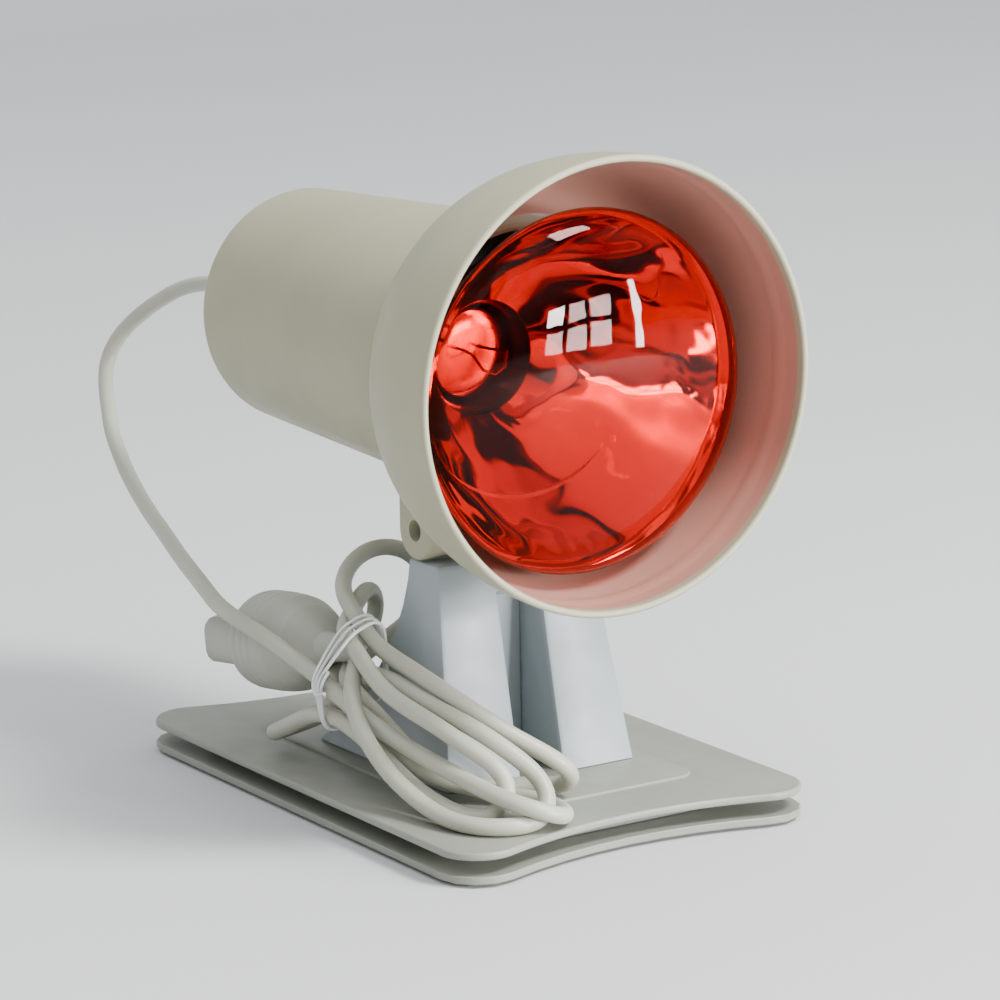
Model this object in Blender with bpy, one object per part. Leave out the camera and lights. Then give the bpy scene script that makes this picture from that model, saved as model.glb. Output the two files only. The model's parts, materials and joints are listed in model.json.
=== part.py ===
"""Table-top heat lamp: a reflector bulb in a tilting bell-shaped head on a two-plate base.

Metres, +Z up. The lamp shines towards -Y, and the origin is the middle of the footprint.
"""

import math

import bmesh
import bpy
import numpy as np
from mathutils import Matrix

MM = 0.001

# Fits
touch_gap = 0.3 * MM  # between pieces that bear on each other
bolt_play = 0.3 * MM  # a bolt or screw in its hole, on the radius

# Base
base_width = 145 * MM
base_length = 220 * MM
base_corner = 15 * MM
base_end_hollow = 10 * MM  # how far each short end is scooped in
plate_thickness = 2.8 * MM
plate_gap = 5.5 * MM
plate_edge_round = 0.8 * MM
foot_radius = 7 * MM
foot_thickness = 2.2 * MM
foot_stand_off = 1.2 * MM  # how far a foot stands out below the plate
foot_inset = 17 * MM
pad_side_margin = 8 * MM  # raised pad under the stand, past the legs' feet
pad_front_margin = 28 * MM
pad_back_margin = 30 * MM
pad_height = 1.0 * MM
pad_corner = 8 * MM
spacer_side_inset = 14 * MM
spacer_end_inset = 22 * MM
spacer_rail = 12 * MM
ballast_thickness = 4 * MM
ballast_side_gap = 2 * MM
ballast_end_gap = 16 * MM

# Stand
leg_inner = 8.7 * MM  # inner side of a leg, from the middle of the lamp
leg_outer_foot = 38.5 * MM
leg_outer_top = 31.5 * MM
leg_front_foot = -48 * MM
leg_front_top = -32 * MM
leg_back_foot = 39 * MM
leg_back_top = -13 * MM
leg_wall = 2.5 * MM
leg_edge_round = 1.6 * MM
leg_rib = 3 * MM  # cross wall through each screw boss
web_front = -22 * MM
web_thickness = 2.5 * MM
screw_radius = 2.0 * MM
leg_screw_head = 3.5 * MM
leg_screw_x = 24 * MM
leg_screw_back_y = 10 * MM
leg_screw_front_y = -35 * MM
boss_radius = 4.5 * MM
boss_height = 14 * MM
tie_bolt_drop = 20 * MM  # below the pivot

# Tilt joint
pivot_y = -20 * MM
pivot_z = 100 * MM
lug_radius = 10.3 * MM
lug_half_width = 33 * MM
lug_rise = math.radians(32)  # slope of the lug's lower front, steeper than the head ever tips down
tongue_radius = 9 * MM
pivot_bolt_radius = 2.0 * MM
pivot_head_margin = 1.4 * MM  # of the bolt's head over its shank
pivot_recess_margin = 0.4 * MM  # of the recess over the head
pivot_recess_depth = 7 * MM
washer_thickness = 1.0 * MM
washer_radius = 8 * MM
tongue_headroom = 1.0 * MM  # over the tongue, under the housing

# Head, measured back from the rim along the lamp's axis
axis_lift = 58 * MM  # the lamp's axis over the pivot
rim_reach = 78.5 * MM  # the rim ahead of the pivot
head_length = 210 * MM
rim_radius = 77.5 * MM
shade_depth = 63 * MM
shade_bulge = 2.17  # 2 gives an ellipse, more gives a fuller shoulder
shade_wall = 2.5 * MM
neck_radius = 49.15 * MM  # housing where the shade meets it
rear_radius = 43.2 * MM
rear_round = 7 * MM
housing_wall = 2.4 * MM
spigot_wall = 1.7 * MM
spigot_step = 1.5 * MM  # the spigot's radius is this much under the housing's
spigot_length = 4.8 * MM
spigot_bead = 1.1 * MM  # snaps in behind the shade's rear edge
vent_count = 8
vent_width = 3.4 * MM
vent_inner = 19 * MM
vent_outer = 33 * MM
cord_hole_radius = 5.2 * MM

# Bulb, a 125 mm reflector lamp
bulb_radius = 62.5 * MM
bulb_widest = 22.5 * MM
bulb_crown = 17.5 * MM  # height of the domed face
reflector_end = 94.5 * MM  # where the parabola behind the dome would close
bulb_neck_radius = 18.5 * MM
bulb_neck_end = 142 * MM
glass_wall = 1.0 * MM
cap_radius = 13.1 * MM
cap_start = 147 * MM
cap_length = 23 * MM
cap_wall = 0.5 * MM

# Lampholder and its bracket
holder_radius = 21 * MM
holder_front = 150 * MM
holder_rear = 191 * MM
shell_clearance = 0.6 * MM
shell_wall = 0.6 * MM
bracket_thickness = 1.5 * MM
bracket_length = 72 * MM
bracket_width = 26 * MM
bracket_screw_x = 28 * MM
shield_wall = 0.8 * MM
shield_gap = 1.0 * MM
shield_front = 66 * MM
shield_rear = 150 * MM

# Cord and plug
cord_radius = 3.0 * MM
gland_length = 32 * MM
gland_radius = 6.6 * MM
gland_tip_radius = 4.2 * MM
gland_flange_radius = 8.5 * MM
gland_flange = 3.5 * MM  # thickness of the flange inside the rear wall
plug_x = -48 * MM
plug_neck_y = -5 * MM
plug_neck_z = 56.5 * MM
plug_droop = math.radians(7.6)  # the pin end lies lower
plug_radius = 17.8 * MM
plug_body_length = 62 * MM
pin_radius = 2.4 * MM
pin_length = 19 * MM
pin_spacing = 19 * MM
pin_root = 8 * MM
tie_wire_radius = 0.7 * MM

# Heights that follow from the sizes above
bottom_plate_z = foot_stand_off
spacer_z = bottom_plate_z + plate_thickness
top_plate_z = spacer_z + plate_gap
base_top_z = top_plate_z + plate_thickness
pad_z = base_top_z + pad_height
leg_foot_z = pad_z + touch_gap
leg_top_z = pivot_z - lug_radius - 0.5 * MM
axis_z = pivot_z + axis_lift
rim_y = pivot_y - rim_reach
spacer_width = base_width - 2 * spacer_side_inset
spacer_length = base_length - 2 * spacer_end_inset


# ---------------------------------------------------------------- helpers


def clear_scene():
    for obj in list(bpy.data.objects):
        bpy.data.objects.remove(obj, do_unlink=True)


def material(name, colour, roughness, metallic=0.0):
    mat = bpy.data.materials.new(name)
    mat.use_nodes = True
    shader = mat.node_tree.nodes["Principled BSDF"]
    shader.inputs["Base Color"].default_value = (*colour, 1.0)
    shader.inputs["Roughness"].default_value = roughness
    shader.inputs["Metallic"].default_value = metallic
    return mat


def empty(name, location, rotation=(0, 0, 0), parent=None):
    obj = bpy.data.objects.new(name, None)
    bpy.context.scene.collection.objects.link(obj)
    obj.parent = parent
    obj.location = location
    obj.rotation_euler = rotation
    return obj


def place(name, mesh, mat, parent, location=(0, 0, 0), rotation=(0, 0, 0), sharp=35):
    obj = bpy.data.objects.new(name, mesh)
    bpy.context.scene.collection.objects.link(obj)
    obj.parent = parent
    obj.location = location
    obj.rotation_euler = rotation
    if mat:
        mesh.materials.append(mat)
    if hasattr(mesh, "shade_smooth"):
        mesh.shade_smooth()
        mesh.set_sharp_from_angle(angle=math.radians(sharp))
    return obj


def helper(obj):
    obj.hide_render = True
    obj.display_type = "WIRE"
    return obj


def boolean(obj, other, operation):
    mod = obj.modifiers.new(other.name, "BOOLEAN")
    mod.operation = operation
    mod.solver = "EXACT"
    mod.object = helper(other)


def finish_mesh(bm, name):
    bmesh.ops.recalc_face_normals(bm, faces=bm.faces)
    mesh = bpy.data.meshes.new(name)
    bm.to_mesh(mesh)
    bm.free()
    return mesh


def turned(name, outline, steps=40):
    """A body turned about Z from (radius, height) points: a closed outline, or one from Z back to Z."""
    bm = bmesh.new()
    rings = []
    for radius, height in outline:
        if radius < 1e-7:
            rings.append([bm.verts.new((0, 0, height))] * steps)
            continue
        angles = [2 * math.pi * k / steps for k in range(steps)]
        rings.append([bm.verts.new((radius * math.cos(a), radius * math.sin(a), height)) for a in angles])
    on_axis = outline[0][0] < 1e-7 and outline[-1][0] < 1e-7
    pairs = list(zip(rings, rings[1:])) + ([] if on_axis else [(rings[-1], rings[0])])
    for low, high in pairs:
        for k in range(steps):
            corners = [low[k], low[(k + 1) % steps], high[(k + 1) % steps], high[k]]
            corners = list(dict.fromkeys(corners))
            if len(corners) > 2:
                bm.faces.new(corners)
    return finish_mesh(bm, name)


def lofted(name, rings):
    """A body through rings of points, with its first and last rings closed."""
    bm = bmesh.new()
    rows = [[bm.verts.new(p) for p in ring] for ring in rings]
    count = len(rows[0])
    for low, high in zip(rows, rows[1:]):
        for k in range(count):
            bm.faces.new((low[k], low[(k + 1) % count], high[(k + 1) % count], high[k]))
    bm.faces.new(rows[0])
    bm.faces.new(list(reversed(rows[-1])))
    return finish_mesh(bm, name)


def prism(name, outline, low, high, axis="Z"):
    """An outline of (u, v) points carried along an axis: u, v are X, Y for Z, and Y, Z for X."""
    def at(u, v, w):
        return (u, v, w) if axis == "Z" else (w, u, v)
    return lofted(name, [[at(u, v, w) for u, v in outline] for w in (low, high)])


def tube(name, points, radius, mat, parent, sides=1):
    """A cord or wire along points, as a bevelled curve with closed ends."""
    curve = bpy.data.curves.new(name, "CURVE")
    curve.dimensions = "3D"
    curve.bevel_depth = radius
    curve.bevel_resolution = sides
    curve.use_fill_caps = True
    spline = curve.splines.new("POLY")
    spline.points.add(len(points) - 1)
    for slot, point in zip(spline.points, points):
        slot.co = (*point, 1)
    curve.materials.append(mat)
    obj = bpy.data.objects.new(name, curve)
    bpy.context.scene.collection.objects.link(obj)
    obj.parent = parent
    return obj


def arc(centre, radius, start, end, steps):
    """Points on an arc, with angles in degrees."""
    angles = [math.radians(start + (end - start) * k / steps) for k in range(steps + 1)]
    return [(centre[0] + radius * math.cos(a), centre[1] + radius * math.sin(a)) for a in angles]


def rounded_box(x0, x1, y0, y1, corner, steps=3):
    return (
        arc((x1 - corner, y1 - corner), corner, 0, 90, steps)
        + arc((x0 + corner, y1 - corner), corner, 90, 180, steps)
        + arc((x0 + corner, y0 + corner), corner, 180, 270, steps)
        + arc((x1 - corner, y0 + corner), corner, 270, 360, steps)
    )


def smooth_route(points, spacing):
    """Evenly spaced points on a Catmull-Rom curve through a route's own points, given in millimetres."""
    route = np.array(points) * MM
    route = np.vstack([2 * route[0] - route[1], route, 2 * route[-1] - route[-2]])
    t = np.linspace(0, 1, 12, endpoint=False)[:, None]
    spans = [
        0.5 * (2 * b + (c - a) * t + (2 * a - 5 * b + 4 * c - d) * t**2 + (3 * b - a - 3 * c + d) * t**3)
        for a, b, c, d in zip(route, route[1:], route[2:], route[3:])
    ]
    curve = np.vstack([*spans, route[-2]])
    along = np.concatenate([[0], np.cumsum(np.linalg.norm(np.diff(curve, axis=0), axis=1))])
    stops = np.linspace(0, along[-1], max(2, round(along[-1] / spacing)) + 1)
    return np.column_stack([np.interp(stops, along, curve[:, k]) for k in range(3)])


def pegs(name, centres, radius, low, high, steps=12):
    """One mesh of upright round pegs at (x, y) centres."""
    bm = bmesh.new()
    for x, y in centres:
        bmesh.ops.create_cone(
            bm, cap_ends=True, segments=steps, radius1=radius, radius2=radius, depth=high - low,
            matrix=Matrix.Translation((x, y, (low + high) / 2)),
        )
    return finish_mesh(bm, name)


def box(name, x0, x1, y0, y1, z0, z1):
    return prism(name, [(x0, y0), (x1, y0), (x1, y1), (x0, y1)], z0, z1)


def crossbar(name, radius, half, y, z, parent, steps=16):
    """A round bar along X, as a cutter."""
    mesh = turned(name, [(0, -half), (radius, -half), (radius, half), (0, half)], steps)
    return place(name, mesh, None, parent, (0, y, z), (0, math.pi / 2, 0))


def cut(obj, mesh, parent=None, operation="DIFFERENCE"):
    boolean(obj, place(mesh.name, mesh, None, parent), operation)


def fuse(obj, mesh, parent=None):
    cut(obj, mesh, parent, "UNION")


def screw_mesh(name, head_radius, head_height, shank_radius, length, steps=10):
    """A pan-head screw whose head seats at z = 0, with its shank along +Z."""
    return turned(name, [
        (0, -head_height), (0.75 * head_radius, -head_height), (head_radius, -0.5 * head_height),
        (head_radius, 0), (shank_radius, 0), (shank_radius, length - 0.5 * MM),
        (shank_radius - 0.5 * MM, length), (0, length),
    ], steps)


def nut_mesh(name, across_corners, bolt_radius, height):
    """A hexagonal nut whose hole clears its bolt on the flats."""
    hole = (bolt_radius + bolt_play) / math.cos(math.pi / 6)
    half = height / 2
    return turned(name, [(across_corners, -half), (across_corners, half), (hole, half), (hole, -half)], 6)


def inside_of(outline, wall):
    """The outline of (radius, height) points moved in by a wall, square to the surface."""
    line = np.array(outline)
    slope = np.gradient(line, axis=0)
    slope /= np.linalg.norm(slope, axis=1)[:, None]
    return [tuple(p) for p in line + wall * np.column_stack([-slope[:, 1], slope[:, 0]])]


# ---------------------------------------------------------------- base


def base_outline(inset=0.0, corner_steps=4, end_steps=8):
    """Rectangle with round corners whose short ends are scooped in by one smooth arc."""
    reach = base_width / 2 - base_corner
    spread = (reach**2 + base_end_hollow**2) / (2 * base_end_hollow)
    middle = base_length / 2 - base_end_hollow + spread - base_corner
    turn = 90 + math.degrees(math.asin(reach / spread))
    corner_y = base_length / 2 - base_corner
    scoop = turn - 180
    radius = base_corner - inset
    hollow = spread - base_corner + inset
    right = arc((reach, corner_y), radius, 0, turn, corner_steps)
    end = arc((0, middle), hollow, scoop, -180 - scoop, end_steps)[1:-1]
    left = [(-x, y) for x, y in reversed(right)]
    back = right + end + left
    return back + [(-x, -y) for x, y in back]


def base_plate(name, low, rounded, mat, root):
    high = low + plate_thickness
    e = plate_edge_round
    if rounded:
        levels = [(0.3 * e, low), (0, low + 0.3 * e), (0, high - e), (0.3 * e, high - 0.3 * e), (e, high)]
    else:
        levels = [(0.5 * e, low), (0, low + 0.5 * e), (0, high)]
    rings = [[(x, y, z) for x, y in base_outline(inset)] for inset, z in levels]
    return place(name, lofted(name, rings), mat, root)


def corners(x, y):
    return [(x, y), (-x, y), (-x, -y), (x, -y)]


def leg_screw_places():
    return [(s * leg_screw_x, y) for s in (-1, 1) for y in (leg_screw_front_y, leg_screw_back_y)]


def build_base(root, plastic, rubber, steel, iron):
    screw_x = spacer_width / 2 - spacer_rail / 2
    screw_y = spacer_length / 2 - spacer_rail / 2
    feet = corners(base_width / 2 - foot_inset, base_length / 2 - foot_inset)
    shank = 1.5 * MM
    head = 2.75 * MM
    head_height = 1.4 * MM
    head_seat = bottom_plate_z + head_height + 0.2 * MM
    blind_end = base_top_z - 0.9 * MM

    top = base_plate("base_top_plate", top_plate_z, True, plastic, root)
    half = leg_outer_foot + pad_side_margin
    front, back = leg_front_foot - pad_front_margin, leg_back_foot + pad_back_margin
    pad = [
        [(x, y, z) for x, y in rounded_box(i - half, half - i, front + i, back - i, pad_corner - i)]
        for i, z in ((0, top_plate_z + 1 * MM), (0, pad_z - 0.3 * MM), (0.3 * MM, pad_z))
    ]
    fuse(top, lofted("pad_form", pad), root)
    cut(top, pegs("leg_screw_holes", leg_screw_places(), screw_radius + bolt_play, 0, pad_z + 1 * MM), root)
    cut(top, pegs("base_screw_blind_holes", corners(screw_x, screw_y), shank + bolt_play, 0, blind_end), root)

    low, high = spacer_z + touch_gap, top_plate_z - touch_gap
    half_x, half_y = spacer_width / 2, spacer_length / 2
    ring = prism("base_spacer", rounded_box(-half_x, half_x, -half_y, half_y, 6 * MM), low, high)
    spacer = place("base_spacer", ring, plastic, root)
    hole_x, hole_y = half_x - spacer_rail, half_y - spacer_rail
    window = rounded_box(-hole_x, hole_x, -hole_y, hole_y, 3 * MM)
    cut(spacer, prism("spacer_window", window, low - 1 * MM, high + 1 * MM), root)
    cut(spacer, pegs("spacer_holes", corners(screw_x, screw_y), shank + bolt_play, 0, pad_z), root)

    bottom = base_plate("base_bottom_plate", bottom_plate_z, False, plastic, root)
    recess = bottom_plate_z + foot_thickness - foot_stand_off + touch_gap
    cut(bottom, pegs("foot_recesses", feet, foot_radius + touch_gap, 0, recess), root)
    cut(bottom, pegs("base_screw_holes", corners(screw_x, screw_y), shank + bolt_play, 0, pad_z), root)
    cut(bottom, pegs("base_screw_seats", corners(screw_x, screw_y), head + bolt_play, 0, head_seat), root)
    cut(bottom, pegs("leg_screw_access", leg_screw_places(), leg_screw_head + 1 * MM, 0, pad_z), root)

    foot = turned("foot", [(0, 0), (foot_radius - 0.4 * MM, 0), (foot_radius, 0.4 * MM),
                           (foot_radius, foot_thickness), (0, foot_thickness)], 16)
    screw = screw_mesh("base_screw", head, head_height, shank, blind_end - head_seat)
    for number, (x, y) in enumerate(feet, 1):
        place(f"foot_{number}", foot, None if foot.materials else rubber, root, (x, y, 0))
    for number, (x, y) in enumerate(corners(screw_x, screw_y), 1):
        mat = None if screw.materials else steel
        place(f"base_screw_{number}", screw, mat, root, (x, y, head_seat - touch_gap))

    ballast_top = top_plate_z - touch_gap
    seat = ballast_top - ballast_thickness
    half_x, half_y = hole_x - ballast_side_gap, hole_y - ballast_end_gap
    plate = box("ballast_plate", -half_x, half_x, -half_y, half_y, seat, ballast_top)
    ballast = place("ballast_plate", plate, iron, root)
    cut(ballast, pegs("ballast_holes", leg_screw_places(), screw_radius + bolt_play, 0, pad_z), root)
    length = leg_foot_z + boss_height - seat - 2 * MM
    long_screw = screw_mesh("leg_screw", leg_screw_head, 2 * MM, screw_radius, length)
    for number, (x, y) in enumerate(leg_screw_places(), 1):
        mat = None if long_screw.materials else steel
        place(f"leg_screw_{number}", long_screw, mat, root, (x, y, seat - touch_gap))


# ---------------------------------------------------------------- stand


def leg_level(t, side, inset, z):
    """A leg's section at a share t of its height: straight sides, and a back that curves in upwards."""
    outer = leg_outer_foot + (leg_outer_top - leg_outer_foot) * t - inset
    front = leg_front_foot + (leg_front_top - leg_front_foot) * t + inset
    back = leg_back_top + (leg_back_foot - leg_back_top) * (1 - t) ** 2 - inset
    corner = max(leg_edge_round - 0.4 * inset, 0.5 * MM)
    outline = rounded_box(leg_inner + inset, outer, front, back, corner, 2)
    return [(side * x, y, z) for x, y in outline]


def leg_form(name, side, inset, low, high):
    height = leg_top_z - leg_foot_z
    rings = []
    for k in range(10):
        z = low + (high - low) * k / 9
        rings.append(leg_level((z - leg_foot_z) / height, side, inset, z))
    if not inset:
        e = leg_edge_round
        shoulder = (high - 0.6 * e - leg_foot_z) / height
        rings[-1:] = [
            leg_level((high - e - leg_foot_z) / height, side, 0, high - e),
            leg_level(shoulder, side, 0.25 * e, high - 0.3 * e),
            leg_level(1, side, 0.9 * e, high),
        ]
    return lofted(name, rings)


def build_legs(root, plastic):
    legs = []
    for name, side in (("left_leg", -1), ("right_leg", 1)):
        leg = place(name, leg_form(name, side, 0, leg_foot_z, leg_top_z), plastic, root)
        hollow = leg_form(name + "_hollow", side, leg_wall, leg_foot_z - 1 * MM, leg_top_z - leg_wall)
        cut(leg, hollow, root)
        inner, outer = leg_inner + 1 * MM, leg_outer_foot - leg_wall - 0.5 * MM
        x0, x1 = sorted((side * inner, side * outer))
        low, high = leg_foot_z + 0.5 * MM, leg_foot_z + boss_height
        for place_name, y in (("front", leg_screw_front_y), ("back", leg_screw_back_y)):
            rib = box(f"{name}_{place_name}_rib", x0, x1, y - leg_rib / 2, y + leg_rib / 2, low, high)
            fuse(leg, rib, root)
            centre = [(side * leg_screw_x, y)]
            fuse(leg, pegs(f"{name}_{place_name}_boss", centre, boss_radius, low, high), root)
            hole = screw_radius + bolt_play
            cut(leg, pegs(f"{name}_{place_name}_hole", centre, hole, 0, high - 1.5 * MM, 16), root)
        legs.append(leg)
    return legs


def build_web(root, plastic, steel, legs):
    """Thin web between the legs, with a block that the legs clamp and an eye that carries the head."""
    half = leg_inner - touch_gap
    block_low = leg_top_z - 13 * MM
    front, back = pivot_y - tongue_radius, pivot_y + tongue_radius
    strip_back = web_front + web_thickness
    top = arc((pivot_y, pivot_z), tongue_radius, 0, 180, 12)
    outline = (
        [(web_front, leg_foot_z), (strip_back, leg_foot_z), (strip_back, block_low - 3 * MM),
         (back, block_low)]
        + top + [(front, block_low), (web_front, block_low - 3 * MM)]
    )
    web = place("stand_web", prism("stand_web", outline, -half, half, "X"), plastic, root)
    bolt_hole = screw_radius + bolt_play
    tie_z = pivot_z - tie_bolt_drop
    tie_y = pivot_y - 2 * MM
    ear = leg_inner + leg_wall
    boolean(web, crossbar("web_pivot_hole", pivot_bolt_radius + bolt_play, 2 * half, pivot_y, pivot_z, root),
            "DIFFERENCE")
    for obj, label in ((web, "web"), (legs[0], "left"), (legs[1], "right")):
        reach = ear + 3 * MM
        boolean(obj, crossbar(label + "_tie_hole", bolt_hole, reach, tie_y, tie_z, root), "DIFFERENCE")
    seat = ear + touch_gap
    bolt = screw_mesh("stand_tie_bolt", 3.5 * MM, 2.4 * MM, screw_radius, 2 * seat + 4 * MM)
    place("stand_tie_bolt", bolt, steel, root, (-seat, tie_y, tie_z), (0, math.pi / 2, 0))
    nut = nut_mesh("stand_tie_nut", 3.9 * MM, screw_radius, 3 * MM)
    place("stand_tie_nut", nut, steel, root, (seat + 1.5 * MM, tie_y, tie_z), (0, math.pi / 2, 0))


# ---------------------------------------------------------------- tilting head


def housing_radius(depth):
    share = (depth - shade_depth) / (head_length - shade_depth)
    return neck_radius + (rear_radius - neck_radius) * share


def build_housing(tilt, lamp, plastic):
    start = shade_depth + touch_gap
    spigot = neck_radius - spigot_step
    tip = start - spigot_length
    inner_end = head_length - housing_wall
    # The spigot passes through the shade's rear edge, and its bead snaps in behind it
    lip = tip + 1.2 * MM
    profile = [(0, tip), (spigot - 0.3 * MM, tip), (spigot + spigot_bead, lip - 0.3 * MM),
               (spigot + spigot_bead, lip + 0.2 * MM), (spigot, lip + 0.8 * MM), (spigot, start),
               (neck_radius - 0.4 * MM, start), (neck_radius, start + 0.4 * MM)]
    bend = head_length - rear_round
    edge = housing_radius(bend) - rear_round
    profile += [(edge + rear_round * math.cos(a), bend + rear_round * math.sin(a))
                for a in (math.radians(k) for k in (0, 22.5, 45, 67.5, 90))]
    profile += [(0, head_length)]
    housing = place("lamp_housing", turned("lamp_housing", profile, 40), plastic, lamp)

    # Lug under the housing: round below, straight behind, and sloped up in front so that it can tip
    front = rim_y + start - pivot_y
    rise_start = -90 - math.degrees(lug_rise)
    lower = arc((0, 0), lug_radius, 0, rise_start, 11)
    y, z = lower[-1]
    rise_z = z + (y - front) * math.tan(lug_rise)
    roof = 24 * MM
    outline = [(lug_radius, roof)] + lower + [(front, rise_z), (front, roof)]
    fuse(housing, prism("lug_form", outline, -lug_half_width, lug_half_width, "X"), tilt)

    inner = spigot - spigot_wall
    inner_bend = inner_end - rear_round + housing_wall
    cavity = [(0, tip - 1 * MM), (inner, tip - 1 * MM), (inner, start + 1 * MM),
              (housing_radius(start + 4 * MM) - housing_wall, start + 4 * MM),
              (housing_radius(inner_bend) - housing_wall, inner_bend),
              (housing_radius(inner_end) - rear_round, inner_end), (0, inner_end)]
    cut(housing, turned("housing_cavity", cavity, 40), lamp)

    half = leg_inner + washer_thickness + touch_gap
    slot_top = tongue_radius + tongue_headroom
    slot = [(-40 * MM, -40 * MM), (40 * MM, -40 * MM), (40 * MM, slot_top), (-40 * MM, slot_top)]
    cut(housing, prism("lug_slot", slot, -half, half, "X"), tilt)
    hole = pivot_bolt_radius + bolt_play
    boolean(housing, crossbar("lug_hole", hole, lug_half_width + 1 * MM, 0, 0, tilt), "DIFFERENCE")
    recess_radius = pivot_bolt_radius + pivot_head_margin + pivot_recess_margin
    for side in (-1, 1):
        floor = lug_half_width - pivot_recess_depth
        mouth = lug_half_width + 3 * MM
        outline = [(0, floor), (recess_radius, floor), (recess_radius, mouth), (0, mouth)]
        recess = turned("recess", outline, 20)
        recess_cutter = place(f"lug_recess_{side}", recess, None, tilt, (0, 0, 0), (0, side * math.pi / 2, 0))
        boolean(housing, recess_cutter, "DIFFERENCE")

    for side in (-1, 1):
        where = [(side * bracket_screw_x, 0)]
        boss_front = holder_rear + bracket_thickness + 2 * touch_gap
        fuse(housing, pegs(f"bracket_boss_{side}", where, 4 * MM, boss_front, inner_end + 1 * MM), lamp)
        cut(housing, pegs(f"bracket_boss_hole_{side}", where, 1.8 * MM, boss_front - 1 * MM,
                          inner_end - 1 * MM, 12),
            lamp)
    cut(housing, pegs("cord_hole", [(0, 0)], cord_hole_radius, inner_end - 1 * MM,
                      head_length + 1 * MM, 24), lamp)
    vents = bmesh.new()
    length = vent_outer - vent_inner
    for k in range(vent_count):
        turn = Matrix.Rotation(2 * math.pi * (k + 0.5) / vent_count, 4, "Z")
        shift = Matrix.Translation(((vent_inner + vent_outer) / 2, 0, inner_end))
        scale = Matrix.Diagonal((length, vent_width, 4 * housing_wall, 1))
        bmesh.ops.create_cube(vents, size=1, matrix=turn @ shift @ scale)
    cut(housing, finish_mesh(vents, "rear_vents"), lamp)
    return housing


def shade_outline(steps=9):
    """Outer side of the shade as (radius, depth): straight at the rim, closing in ever faster to the neck."""
    angles = [math.pi / 2 * k / steps for k in range(steps + 1)]
    flare = rim_radius - neck_radius
    return [(neck_radius + flare * max(math.cos(a), 0) ** (2 / shade_bulge), shade_depth * math.sin(a))
            for a in angles]


def build_shade(lamp, enamel):
    outer = shade_outline()
    outer[-1] = (neck_radius, shade_depth)
    inner = inside_of(outer, shade_wall)
    inner[-1] = (neck_radius, shade_depth - shade_wall)
    hole = neck_radius - spigot_step + touch_gap
    lip = shade_wall / 2
    middle = rim_radius - lip
    turn = [math.radians(k) for k in (150, 90, 30)]
    rim = [(middle + lip * math.cos(a), lip - lip * math.sin(a)) for a in turn]
    outer[0] = (rim_radius, lip)
    inner[0] = (rim_radius - shade_wall, lip)
    outline = outer + [(hole, shade_depth), (hole, shade_depth - shade_wall)] + list(reversed(inner)) + rim
    return place("lamp_shade", turned("lamp_shade", outline, 40), enamel, lamp)


def bulb_outline():
    """Outer side of the glass: an elliptical dome, a parabola behind it, then a straight neck."""
    dome = [(bulb_radius * math.sin(a), bulb_widest - bulb_crown * math.cos(a))
            for a in (math.pi / 2 * k / 6 for k in range(7))]
    pull = bulb_radius**2 / (reflector_end - bulb_widest)
    neck_start = reflector_end - bulb_neck_radius**2 / pull
    back = []
    for k in range(1, 7):
        depth = bulb_widest + (neck_start - bulb_widest) * k / 6
        back.append((math.sqrt(pull * (reflector_end - depth)), depth))
    shoulder = (bulb_radius - 0.4 * MM, bulb_widest + 2.3 * MM)
    throat = cap_radius - cap_wall - bolt_play
    ending = [(bulb_neck_radius, bulb_neck_end), (throat, cap_start - touch_gap),
              (throat, cap_start + 4 * MM)]
    return dome + [shoulder] + back + ending


def build_bulb(lamp, glass, brass, black, wire):
    outer = bulb_outline()
    inner = inside_of(outer, glass_wall)
    inner[0] = (0, outer[0][1] + glass_wall)
    inner[-1] = (outer[-1][0] - glass_wall, outer[-1][1])
    place("bulb_glass", turned("bulb_glass", outer + list(reversed(inner)), 32), glass, lamp, sharp=50)

    end = cap_start + cap_length
    crimp = cap_radius - 4 * MM
    shell = [(cap_radius, cap_start), (cap_radius, end - 3 * MM), (crimp, end),
             (crimp - cap_wall, end - cap_wall), (cap_radius - cap_wall, end - 3 * MM - cap_wall),
             (cap_radius - cap_wall, cap_start)]
    place("bulb_cap", turned("bulb_cap", shell, 24), brass, lamp)
    core = crimp - 1.1 * MM
    plug = [(0, end - 3 * MM), (core, end - 3 * MM), (core, end + 1 * MM), (4.5 * MM, end + 3.5 * MM),
            (0, end + 3.5 * MM)]
    place("bulb_insulator", turned("bulb_insulator", plug, 16), black, lamp)
    tip = end + 3.5 * MM + touch_gap
    button = [(0, tip), (4.2 * MM, tip), (3.4 * MM, tip + 1.1 * MM), (0, tip + 1.3 * MM)]
    place("bulb_contact", turned("bulb_contact", button, 16), brass, lamp)

    stem_top, flare = 100 * MM, bulb_neck_end - 2 * MM
    stem = [(0, stem_top), (3.2 * MM, stem_top), (3.6 * MM, flare - 14 * MM), (11 * MM, flare), (0, flare)]
    place("bulb_stem", turned("bulb_stem", stem, 16), glass, lamp)
    leg, lift = 2.5 * MM, stem_top - touch_gap
    loop = [(-leg, 0, lift), (-5 * MM, 0, lift - 13 * MM), (-7 * MM, 0, lift - 20 * MM),
            (-4.5 * MM, 5 * MM, lift - 22 * MM), (0, 7 * MM, lift - 22.5 * MM),
            (4.5 * MM, 5 * MM, lift - 22 * MM), (7 * MM, 0, lift - 20 * MM), (5 * MM, 0, lift - 13 * MM),
            (leg, 0, lift)]
    tube("bulb_filament", loop, 0.5 * MM, wire, lamp)
    return tip + 1.3 * MM


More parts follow.
